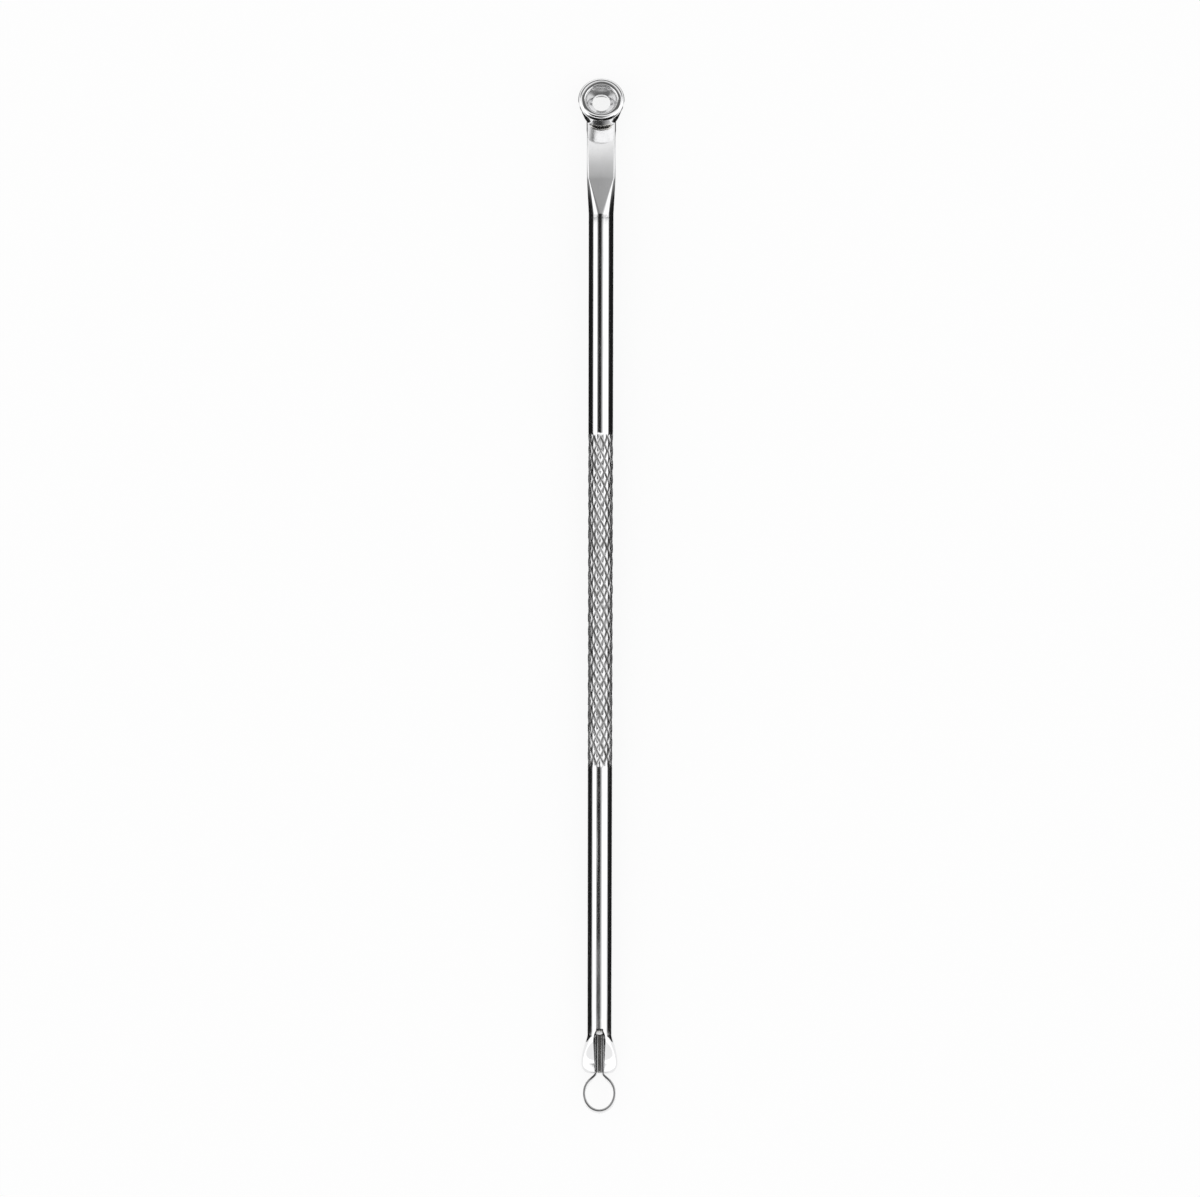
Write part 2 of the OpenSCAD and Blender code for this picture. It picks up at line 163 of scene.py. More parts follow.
@dataclass(frozen=True)
class Neck:
    """Flattened and bent upper end of the rod."""

    width: float = 3.45
    thickness: float = 0.8
    bulge: float = 0.3
    ramp_len: float = 4.2
    ramp_angle: float = 14.0
    bend_len: float = 4.0
    head_tilt: float = 22.0
    length: float = 1.95
    lap: float = 1.3
    apex_w: float = 0.04
    shank_stop: float = 0.6

    @property
    def bend_end(self) -> float:
        """Distance from the round rod to the end of the bend."""
        return self.ramp_len + self.bend_len

    @property
    def cup_edge_s(self) -> float:
        """Distance from the round rod to the near edge of the cup's base."""
        return self.bend_end + self.length

    @property
    def end_s(self) -> float:
        """Distance from the round rod to the end of the neck, under the cup."""
        return self.cup_edge_s + self.lap * math.cos(math.radians(self.head_tilt))

    def top(self, s: Numbers, rod: Rod) -> Numbers:
        """Height of the neck's upper face at distance s from the round rod.

        Args:
            s: Distance from the round rod.
            rod: The rod's sizes.

        Returns:
            The height, in millimetres.
        """
        ramp = math.tan(math.radians(self.ramp_angle))
        tilt = math.tan(math.radians(self.head_tilt))
        bend = np.clip(s - self.ramp_len, 0, self.bend_len)
        return (
            rod.radius
            - ramp * np.clip(s, 0, self.ramp_len)
            - ramp * bend
            - (tilt - ramp) * bend * bend / (2 * self.bend_len)
            - tilt * np.maximum(s - self.bend_end, 0)
        )

    def bottom(self, s: Numbers, rod: Rod) -> Numbers:
        """Height of the neck's lower face at distance s from the round rod.

        Args:
            s: Distance from the round rod.
            rod: The rod's sizes.

        Returns:
            The height, in millimetres.
        """
        tilt = math.tan(math.radians(self.head_tilt))
        v = clamp01(s / self.bend_end)
        end = self.top(self.bend_end, rod) - self.thickness / math.cos(math.radians(self.head_tilt))
        return (
            -rod.radius * (1 - 3 * v * v + 2 * v**3)
            + end * (3 * v * v - 2 * v**3)
            - self.bend_end * tilt * (v**3 - v * v)
            - tilt * np.maximum(s - self.bend_end, 0)
        )


@dataclass(frozen=True)
class CupSizes:
    """Turned cup with a rounded lip, a cone, a hole and a hollow back."""

    diameter: float = 5.44
    base_d: float = 4.4
    height: float = 3.7
    lip_r: float = 0.5
    hole_d: float = 2.1
    hole_land: float = 0.4
    dish_depth: float = 0.95
    dish_edge_angle: float = 15.0
    hollow_d: float = 3.6
    chamfer: float = 0.08
    fillet_leg: float = 0.3
    seam_gap: float = 0.02

    @property
    def base_r(self) -> float:
        """Radius of the base."""
        return self.base_d / 2

    @property
    def lip_pos_r(self) -> float:
        """Distance of the middle of the lip's round from the cup's axis."""
        return self.diameter / 2 - self.lip_r

    @property
    def lip_pos_h(self) -> float:
        """Height of the middle of the lip's round above the base."""
        return self.height - self.lip_r

    @property
    def dish_top_h(self) -> float:
        """Height at which the cone meets the lip."""
        return self.lip_pos_h + self.lip_r * math.sin(math.radians(self.dish_edge_angle))

    @property
    def hole_top_h(self) -> float:
        """Height of the hole's upper edge."""
        return self.dish_top_h - self.dish_depth

    @property
    def hollow_h(self) -> float:
        """Height of the hollow behind the hole."""
        return self.hole_top_h - self.hole_land


@dataclass(frozen=True)
class Tail:
    """Crimped lower end of the rod: two lobes with a groove between them."""

    width: float = 4.25
    thickness: float = 1.9
    length: float = 5.35
    spread_start: float = 0.8
    lobe_round: float = 1.2
    corner_in: float = 0.9
    rim_round: float = 0.3
    groove_w: float = 1.6
    groove_end_w: float = 1.1
    groove_depth: float = 0.6
    leg_show: float = 0.3
    flat_len: float = 3.2
    least_start: float = 0.2
    spread_power: float = 1.3
    groove_square: float = 6.0
    lobe_square: float = 2.2
    back_square: float = 6.0
    groove_steps: int = 16
    blend_start: float = 2.2
    blend_len: float = 1.2
    start_stops: tuple[float, ...] = (0.0, 0.02, 0.05, 0.1, 0.15, 0.22, 0.3, 0.4, 0.5, 0.6, 0.7, 0.8)

    @property
    def lobe_end_q(self) -> float:
        """Distance from the groove's top to where the lobes' ends start to round off."""
        return self.length - self.lobe_round


@dataclass(frozen=True)
class Loop:
    """Ribbon that is bent into a loop, with its two legs in the tail."""

    width: float = 3.9
    length: float = 4.75
    oval_len: float = 4.2
    ribbon_t: float = 0.32
    ribbon_w: float = 0.8
    ribbon_round: float = 0.05
    leg_gap: float = 0.4
    leg_len: float = 4.5
    rise: float = 18.0
    bend_len: float = 0.9
    slot_gap: float = 0.04
    splay_angle: float = 42.0
    splay_start: float = 0.15
    splay_pull: float = 0.45

    @property
    def leg_x(self) -> float:
        """Distance of a leg's middle from the tool's middle plane."""
        return (self.leg_gap + self.ribbon_t) / 2

    @property
    def tip_t(self) -> float:
        """Distance from the tail's end to the middle of the ribbon at the loop's tip."""
        return self.length - self.ribbon_t / 2

    def bend(self, t: Numbers) -> tuple[float, Numbers, Numbers]:
        """Radius of the upward bend, angle turned over t, and how far t runs beyond the bend."""
        rise = math.radians(self.rise)
        return self.bend_len / rise, rise * clamp01(t / self.bend_len), np.maximum(t - self.bend_len, 0)

    def run(self, t: Numbers) -> Numbers:
        """Distance along the rod covered by t of the rising centre surface."""
        r, a, beyond = self.bend(t)
        return np.minimum(t, 0) + r * np.sin(a) + beyond * math.cos(math.radians(self.rise))

    def climb(self, t: Numbers) -> Numbers:
        """Height gained over t of the rising centre surface."""
        r, a, beyond = self.bend(t)
        return r * (1 - np.cos(a)) + beyond * math.sin(math.radians(self.rise))


@dataclass(frozen=True)
class Tool:
    """All sizes of the tool, and the places that follow from them."""

    rod: Rod = Rod()
    knurl: Knurl = Knurl()
    neck: Neck = Neck()
    cup: CupSizes = CupSizes()
    tail: Tail = Tail()
    loop: Loop = Loop()

    @property
    def tilt(self) -> float:
        """Lean of the head in radians."""
        return math.radians(self.neck.head_tilt)

    @property
    def tail_end_y(self) -> float:
        """Where the rod ends."""
        return self.rod.tail_y - self.tail.length

    @property
    def lobe_top(self) -> float:
        """Height of the lobes' upper side at their end."""
        return self.tail.thickness - self.rod.radius

    @property
    def groove_floor(self) -> float:
        """Height of the groove's level floor."""
        return self.lobe_top - self.tail.groove_depth

    @property
    def leg_z(self) -> float:
        """Height of the middle of the ribbon's legs."""
        return self.groove_floor + self.tail.leg_show - self.loop.ribbon_w / 2

    @property
    def cup_base(self) -> Vector:
        """Middle of the cup's base.

        Returns:
            The point, in the tool's own frame.
        """
        s = self.neck.cup_edge_s
        edge = Vector((0, self.rod.neck_y + s, float(self.neck.top(s, self.rod))))
        return edge + self.across * self.cup.base_r

    @property
    def across(self) -> Vector:
        """Direction of the neck's upper face, away from the rod."""
        return Vector((0, math.cos(self.tilt), -math.sin(self.tilt)))


class Resting:
    """Places what is drawn in the tool's own frame on the table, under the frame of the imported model."""

    def __init__(self, tool: Tool) -> None:
        """Works out how the tool lies on its cup's far edge and on the flat back of its tail.

        Args:
            tool: The tool's sizes.
        """
        rod, cup, loop = tool.rod, tool.cup, tool.loop
        low = tool.cup_base + tool.across * (cup.base_r - cup.chamfer)
        flat_y = tool.tail_end_y + tool.tail.flat_len
        self.angle = math.atan((-rod.radius - low.z) / (low.y - flat_y))
        self.lift = rod.radius * math.cos(self.angle) - flat_y * math.sin(self.angle)
        far_lip = (tool.cup_base.y + cup.lip_pos_h * math.sin(tool.tilt)
                   + cup.lip_pos_r * math.cos(tool.tilt) + cup.lip_r)
        far_loop = (tool.tail_end_y - float(loop.run(loop.tip_t))
                    - loop.ribbon_w / 2 * math.sin(math.radians(loop.rise)))
        self.middle_y = (far_lip + far_loop) / 2

    @property
    def matrix(self) -> Matrix:
        """Transform from the tool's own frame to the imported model's."""
        shift = Vector((0, -self.middle_y * math.cos(self.angle), self.lift))
        return Matrix.Translation(shift) @ Matrix.Rotation(self.angle, 4, "X")

    def height(self, points: np.ndarray) -> np.ndarray:
        """Height over the table of points in the tool's own frame, in millimetres."""
        return points[..., 1] * math.sin(self.angle) + points[..., 2] * math.cos(self.angle) + self.lift


# Meshes of the pieces


class Shell:
    """Collects rings of points and faces, and turns them into a Blender object."""

    def __init__(self) -> None:
        """Starts with no points."""
        self.points: list[np.ndarray] = []
        self.faces: list[tuple[int, ...]] = []
        self.count = 0

    def add_ring(self, ring: np.ndarray) -> int:
        """Adds a ring of points and returns the index of its first one.

        Args:
            ring: Rows of X, Y and Z.

        Returns:
            The index of its first point.
        """
        first = self.count
        self.points.append(np.asarray(ring, float))
        self.count += len(ring)
        return first

    def wall(self, a: int, b: int, n: int, splits: Optional[Sequence[int]] = None) -> None:
        """Joins two rings of n points.

        Args:
            a: First point of the first ring.
            b: First point of the second ring.
            n: Number of points in each ring.
            splits: For each side, 0 for a whole four-sided face, or 1 or 2 for the way it is cut.
        """
        for j in range(n):
            k = (j + 1) % n
            way = 0 if splits is None else splits[j]
            if way == 0:
                self.faces.append((a + j, a + k, b + k, b + j))
            elif way == 1:
                self.faces += [(a + j, a + k, b + k), (a + j, b + k, b + j)]
            else:
                self.faces += [(a + j, a + k, b + j), (a + k, b + k, b + j)]

    def cap(self, first: int, n: int, turned: bool) -> None:
        """Closes a ring by steps that join its two halves.

        Args:
            first: The ring's first point.
            n: Number of its points.
            turned: Whether the faces look the other way.
        """
        for j in range(n // 2 - 1):
            a, c = first + j, first + n - 2 - j
            face = (a, a + 1, c, c + 1)
            self.faces.append(face[::-1] if turned else face)

    def tube(self, rings: Sequence[np.ndarray]) -> None:
        """Adds rings of equal size, joins each to the next, and closes both ends.

        Args:
            rings: The rings in order.
        """
        firsts = [self.add_ring(ring) for ring in rings]
        n = len(rings[0])
        for low, high in zip(firsts, firsts[1:]):
            self.wall(low, high, n)
        self.cap(firsts[0], n, True)
        self.cap(firsts[-1], n, False)

    def build(self, name: str, place: Matrix, sharp: float = 40.0) -> Object:
        """Makes the object.

        Args:
            name: Name of the piece.
            place: Its transform.
            sharp: Angle in degrees beyond which an edge stays sharp.

        Returns:
            The new object, in the scene.
        """
        points = np.vstack(self.points)
        corners = np.array([(f[0], f[k], f[k + 1]) for f in self.faces for k in range(1, len(f) - 1)])
        a, b, c = (points[corners[:, k]] for k in range(3))
        inside_out = np.einsum("ij,ij->i", a, np.cross(b, c)).sum() < 0
        faces = [f[::-1] for f in self.faces] if inside_out else self.faces
        mesh = bpy.data.meshes.new(name)
        mesh.from_pydata(points.tolist(), [], faces)
        obj = bpy.data.objects.new(name, mesh)
        bpy.context.scene.collection.objects.link(obj)
        obj.matrix_world = place
        finish_shading(obj, sharp)
        return obj


def finish_shading(obj: Object, sharp: float) -> None:
    """Shades a mesh smoothly and keeps its corners sharp.

    Args:
        obj: The piece.
        sharp: Angle in degrees beyond which an edge stays sharp.
    """
    mesh = obj.data
    mesh.validate()
    mesh.polygons.foreach_set("use_smooth", [True] * len(mesh.polygons))
    mesh.set_sharp_from_angle(angle=math.radians(sharp))
    mesh.update()


def cut_away(obj: Object, cutters: Sequence[Object], sharp: float) -> None:
    """Cuts the cutters out of a piece, and removes them.

    Args:
        obj: The piece.
        cutters: Closed objects in their places.
        sharp: Angle in degrees beyond which an edge stays sharp.
    """
    for cutter in cutters:
        cut = obj.modifiers.new("cut", "BOOLEAN")
        cut.operation = "DIFFERENCE"
        cut.solver = "MANIFOLD"
        cut.object = cutter
    bpy.context.view_layer.update()
    graph = bpy.context.evaluated_depsgraph_get()
    whole = bpy.data.meshes.new_from_object(obj.evaluated_get(graph))
    obj.modifiers.clear()
    obj.data = whole
    for cutter in cutters:
        bpy.data.objects.remove(cutter)
    finish_shading(obj, sharp)


def settle_mesh(obj: Object) -> Object:
    """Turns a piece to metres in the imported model's frame, and keeps its millimetres for its finish.

    Args:
        obj: The piece, drawn in millimetres in its own frame.

    Returns:
        The same piece, with no point outside the solids' box.
    """
    mesh = obj.data
    own = np.empty(len(mesh.vertices) * 3)
    mesh.vertices.foreach_get("co", own)
    mesh.attributes.new(OWN_PLACE, "FLOAT_VECTOR", "POINT").data.foreach_set("vector", own)
    mesh.transform(Matrix.Scale(MM, 4) @ obj.matrix_world)
    placed = np.empty(len(mesh.vertices) * 3)
    mesh.vertices.foreach_get("co", placed)
    low, high = (np.array(corner) for corner in CAD_BOX)
    placed = np.clip(placed.reshape(-1, 3), low + BOX_MARGIN, high - BOX_MARGIN)
    mesh.vertices.foreach_set("co", placed.ravel())
    obj.matrix_world = Matrix.Identity(4)
    mesh.update()
    return obj


@dataclass(frozen=True)
class Piece:
    """What the classes that build the pieces share.

    Attributes:
        tool: All sizes of the tool.
        rest: The way the tool lies.
    """

    tool: Tool
    rest: Resting

    @property
    def cup_place(self) -> Matrix:
        """Transform from the cup's own frame, with its axis upright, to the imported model's."""
        base = Matrix.Translation(self.tool.cup_base)
        return self.rest.matrix @ (base @ Matrix.Rotation(-self.tool.tilt, 4, "X"))

    @staticmethod
    def dress(obj: Object, material: Material, slot: str, node: str) -> None:
        """Gives a piece its finish, and lets it stand for its solid.

        Args:
            obj: The piece.
            material: Its finish.
            slot: The record's material slot; not used.
            node: The solid that it stands for.
        """
        obj.data.materials.clear()
        obj.data.materials.append(material)
        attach(obj, "root")
        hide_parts(node)
        LOG.info("%s: %d faces, stands for %s", obj.name, len(obj.data.polygons), node)


@dataclass(frozen=True)
class Handle(Piece):
    """The rod, formed at both ends and knurled in the middle, as one skin."""

    sharp: float = 38.0
    # Distance from the knurl of the rings that keep the plain rod's shading straight.
    grip_margin: float = 0.05
    # How far the slot's cutter stands out of the tail.
    cutter_reach: float = 0.3
    hollow_sides: int = 96
    # Rings down the neck's end, its bend and its ramp.
    neck_rings: int = 8
    bend_rings: int = 25
    ramp_rings: int = 25
    # Rings over each fade of the knurl, and from the plain rod to the tail.
    fade_rings: int = 5
    blend_rings: int = 10
    # Rings down the tail's lobes and round their ends.
    lobe_rings: int = 34
    end_rings: int = 22
    # Angles of a ring's points from the rod's top.
    angles: ClassVar[np.ndarray] = np.arange(RING) * 2 * math.pi / RING

    def neck_ring(self, s: float) -> np.ndarray:
        """Section of the neck: flat faces joined by bulging sides.

        Args:
            s: Distance from the round rod.

        Returns:
            Its points.
        """
        neck, rod = self.tool.neck, self.tool.rod
        v = float(clamp01(s / neck.ramp_len))
        flat = neck.apex_w / 2 * (1 - v) + (neck.width / 2 - neck.bulge) * v
        side = rod.radius * (1 - v) + neck.width / 2 * v - flat
        top, bottom = float(neck.top(s, rod)), float(neck.bottom(s, rod))
        a = math.pi / 2 - math.pi * np.arange(RING // 2) / (RING // 2 - 1)
        x = flat + side * np.cos(a)
        z = (top - bottom) / 2 * np.sin(a)
        return np.column_stack([
            np.concatenate([x, -x]),
            np.full(RING, rod.neck_y + s),
            (top + bottom) / 2 + np.concatenate([z, -z])])

    @staticmethod
    def round_ring(y: float, angles: np.ndarray, radii: Numbers) -> np.ndarray:
        """Section of the rod: points at angles from its top, at their radii."""
        return np.column_stack([radii * np.sin(angles), np.full(RING, y), radii * np.cos(angles)])

    def knurl_phase(self, y: float, angles: np.ndarray) -> tuple[np.ndarray, np.ndarray]:
        """Place round the rod at y, counted in grooves of each hand.

        Args:
            y: Place along the rod.
            angles: Angles from the rod's top.

        Returns:
            The counts for the first and the second hand, whole in the middle of a crest.
        """
        rod, knurl = self.tool.rod, self.tool.knurl
        around = angles / (2 * math.pi / knurl.starts)
        rise = (y + rod.grip_end - knurl.runout) / (2 * knurl.row_len(rod))
        return around + rise, around - rise

    def groove_depths(self, y: float, cells: np.ndarray) -> np.ndarray:
        """Depth of the knurl round the rod at y.

        Args:
            y: Place along the rod.
            cells: Depth factor and two leans of each diamond, by the grooves that it lies between.

        Returns:
            The depths below the plain rod's surface.
        """
        rod, knurl = self.tool.rod, self.tool.knurl
        u, v = self.knurl_phase(y, self.angles)
        along_u, along_v = u - np.round(u), v - np.round(v)
        from_u, from_v = np.abs(along_u), np.abs(along_v)
        crest, edge = knurl.crest_share(rod) / 2, knurl.edge_round
        profiles = []
        for from_middle, share in ((from_u, 1.0), (from_v, knurl.second_hand)):
            slope = clamp01((from_middle - crest) / (0.5 - crest))
            rounded = np.where(slope < edge, slope * slope / (2 * edge), slope - edge / 2)
            profiles.append(share * rounded / (1 - edge / 2))
        profile = np.maximum(*profiles)
        fade = float(clamp01((rod.grip_end - abs(y)) / knurl.runout))
        column, row = np.round(u).astype(int) % len(cells), np.round(v).astype(int) % knurl.starts
        factor, lean_u, lean_v = cells[column, row].T
        dome = knurl.dome * clamp01(np.maximum(from_u, from_v) / crest) ** 2
        sunk = np.abs(lean_u) + np.abs(lean_v)
        lean = knurl.lean * (sunk + (lean_u * along_u + lean_v * along_v) / 0.5)
        return fade * (knurl.depth * profile * factor + (dome + lean) * (1 - profile))

    def knurl_stops(self) -> np.ndarray:
        """Places along the rod at which the knurl's rings stand, from its upper end down.

        Returns:
            The places.
        """
        rod, knurl = self.tool.rod, self.tool.knurl
        step = knurl.row_len(rod) / knurl.steps
        inner = rod.grip_end - knurl.runout - np.arange(knurl.rows(rod) * knurl.steps + 1) * step
        outer = rod.grip_end - knurl.runout * np.linspace(0, 1, self.fade_rings, endpoint=False)
        return np.concatenate([outer, inner, -outer[::-1]])

    def spread_share(self, q: float) -> float:
        """How far the tail has widened at distance q from the groove's top, from 0 to 1."""
        tail = self.tool.tail
        return float(clamp01((q - tail.spread_start) / (tail.lobe_end_q - tail.spread_start)))

    def tail_half_w(self, q: float) -> float:
        """Half-width of the tail at distance q from the groove's top.

        Args:
            q: Distance from the groove's top.

        Returns:
            The half-width.
        """
        tail, radius = self.tool.tail, self.tool.rod.radius
        u = float(clamp01((q - tail.lobe_end_q) / tail.lobe_round))
        wider = math.sin(math.pi / 2 * self.spread_share(q)) ** tail.spread_power
        return radius + (tail.width / 2 - radius) * wider - tail.corner_in * (1 - math.sqrt(1 - u * u))

    def tail_heights(self, q: float) -> tuple[float, float, float]:
        """Upper and lower height of the tail, and how far it is squashed, at distance q.

        Args:
            q: Distance from the groove's top.

        Returns:
            The upper height, the lower one and the squash, 0 to 1.
        """
        tail, radius = self.tool.tail, self.tool.rod.radius
        u = float(clamp01((q - tail.length + tail.rim_round) / tail.rim_round))
        drop = tail.rim_round * (1 - math.sqrt(1 - u * u))
        squash = (1 - math.cos(math.pi * self.spread_share(q))) / 2
        return radius + (self.tool.lobe_top - radius) * squash - drop, drop - radius, squash

    def tail_ring(self, q: float) -> np.ndarray:
        """Section of the tail: a rounded box with the groove pressed into its upper side.

        Args:
            q: Distance from the groove's top.

        Returns:
            Its points.
        """
        tail = self.tool.tail
        u = 1 - float(clamp01(q / (2 * tail.spread_start)))
        start = math.sqrt(max(1 - u * u, 0))
        narrowing = tail.groove_w + (tail.groove_end_w - tail.groove_w) * float(clamp01(q / tail.length))
        g = max(start, tail.least_start) / 2 * narrowing
        half_w = self.tail_half_w(q)
        top, bottom, squash = self.tail_heights(q)
        depth = (top - self.tool.groove_floor) * start
        m, lobe_steps = RING // 4, RING // 4 - tail.groove_steps
        i = np.arange(-m, m + 1)
        beyond = np.abs(i) - tail.groove_steps
        over_lobe = np.sin(math.pi / 2 * np.clip(beyond, 0, None) / lobe_steps)
        outer = np.sign(i) * (g + (half_w - g) * over_lobe)
        x = np.where(beyond <= 0, g * np.sin(math.pi / 2 * i / tail.groove_steps), outer)
        mid, half = (top + bottom) / 2, (top - bottom) / 2
        share = clamp01(np.abs(x) / half_w)
        up = 2 + (tail.lobe_square - 2) * squash
        down = 2 + (tail.back_square - 2) * squash
        upper = mid + half * clamp01(1 - share**up) ** (1 / up)
        upper -= depth * clamp01(1 - np.abs(x / g) ** tail.groove_square)
        lower = mid - half * clamp01(1 - share**down) ** (1 / down)
        return np.column_stack([
            np.concatenate([x[m:], x[1:-1][::-1], x[:m]]),
            np.full(RING, self.tool.rod.tail_y - q),
            np.concatenate([upper[m:], lower[1:-1][::-1], upper[:m]])])

    def shell(self) -> Shell:
        """Builds the whole skin, from the neck's end down to the tail's.

        Returns:
            The skin, closed at both ends.
        """
        rod, neck, tail, knurl = self.tool.rod, self.tool.neck, self.tool.tail, self.tool.knurl
        shell = Shell()
        last: Optional[int] = None

        def add(ring: np.ndarray, splits: Optional[list[int]] = None) -> None:
            """Adds a ring, and joins it to the one before."""
            nonlocal last
            first = shell.add_ring(ring)
            if last is not None:
                shell.wall(first, last, RING, splits)
            last = first

        margin = self.grip_margin
        for s in np.concatenate([
            np.linspace(neck.end_s, neck.bend_end, self.neck_rings),
            np.linspace(neck.bend_end, neck.ramp_len, self.bend_rings)[1:],
            np.linspace(neck.ramp_len, margin, self.ramp_rings)[1:],
            [0.0, -margin],
        ]):
            add(self.neck_ring(float(s)))
        shell.cap(0, RING, False)

        cells = np.random.default_rng(knurl.seed).uniform(-1, 1, (knurl.cell_rows, knurl.starts, 3))
        cells[..., 0] = 1 - knurl.unevenness * np.abs(cells[..., 0])
        splits = None
        shank = [rod.neck_y - neck.shank_stop, rod.grip_end + margin]
        for y in np.concatenate([shank, self.knurl_stops()]):
            if y < rod.grip_end - 1e-9:
                splits = self.diagonals(float(y))
            depths = self.groove_depths(float(y), cells)
            add(self.round_ring(float(y), self.angles, rod.radius - depths), splits)
        blend_y = rod.tail_y + tail.blend_start
        for y in (-rod.grip_end - margin, blend_y):
            add(self.round_ring(y, self.angles, rod.radius))

        first_tail = self.tail_ring(tail.blend_len - tail.blend_start)
        goal = np.unwrap(np.arctan2(first_tail[:, 0], first_tail[:, 2]))
        for share in np.linspace(0, 1, self.blend_rings + 1)[1:]:
            angles = self.angles * (1 - share) + goal * share
            add(self.round_ring(blend_y - tail.blend_len * share, angles, rod.radius))
        rounding = np.sin(math.pi / 2 * np.linspace(0, 1, self.end_rings))[1:]
        for q in np.concatenate([
            tail.start_stops,
            np.linspace(tail.spread_start, tail.lobe_end_q, self.lobe_rings)[1:],
            tail.lobe_end_q + tail.lobe_round * rounding,
        ]):
            add(self.tail_ring(float(q)))
        shell.cap(last, RING, True)
        return shell

    def diagonals(self, y: float) -> list[int]:
        """The way each face above the knurl's ring at y is cut, so that its edges follow the grooves.

        Args:
            y: Place of the ring.

        Returns:
            For each face, 1 or 2 as in Shell.wall.
        """
        rod, knurl = self.tool.rod, self.tool.knurl
        middle = y + knurl.row_len(rod) / knurl.steps / 2
        u, v = self.knurl_phase(middle, self.angles + math.pi / RING)
        return np.where(np.abs(u - np.round(u)) > np.abs(v - np.round(v)), 2, 1).tolist()

    def slot_cutter(self) -> Object:
        """Makes the block that cuts the slot for the loop's legs.

        Returns:
            The block.
        """
        tool, loop = self.tool, self.tool.loop
        half_w = loop.leg_x + loop.ribbon_t / 2 + loop.slot_gap
        half_h = loop.ribbon_w / 2 + loop.slot_gap
        corners = np.array([[x, 0, z] for x, z in (
            (-half_w, -half_h), (half_w, -half_h), (half_w, half_h), (-half_w, half_h))])
        slot = Shell()
        slot.tube([corners + [0, tool.tail_end_y + y, tool.leg_z]
                   for y in (-self.cutter_reach, loop.leg_len + loop.slot_gap)])
        return slot.build("slot_cutter", self.rest.matrix)

    def hollow_cutter(self) -> Object:
        """Makes the rod that carries the cup's hollow on through the neck.

        Returns:
            The rod.
        """
        n, reach = self.hollow_sides, 3 * self.tool.neck.thickness
        a = np.arange(n) * 2 * math.pi / n
        circle = np.column_stack([np.cos(a), np.sin(a), np.zeros(n)]) * self.tool.cup.hollow_d / 2
        hollow = Shell()
        hollow.tube([circle + [0, 0, -reach], circle + [0, 0, reach]])
        return hollow.build("hollow_cutter", self.cup_place)

    def build(self) -> Object:
        """Makes the handle, flat where it lies on the table, with the slot and the hollow cut out.

        Returns:
            The handle.
        """
        shell = self.shell()
        for ring in shell.points:
            low = self.rest.height(ring)
            under = (low < 0) & (ring[:, 1] < 0)
            ring[under, 2] -= low[under] / math.cos(self.rest.angle)
        handle = shell.build("handle_rod", self.rest.matrix, self.sharp)
        cut_away(handle, [self.slot_cutter(), self.hollow_cutter()], self.sharp)
        return settle_mesh(handle)


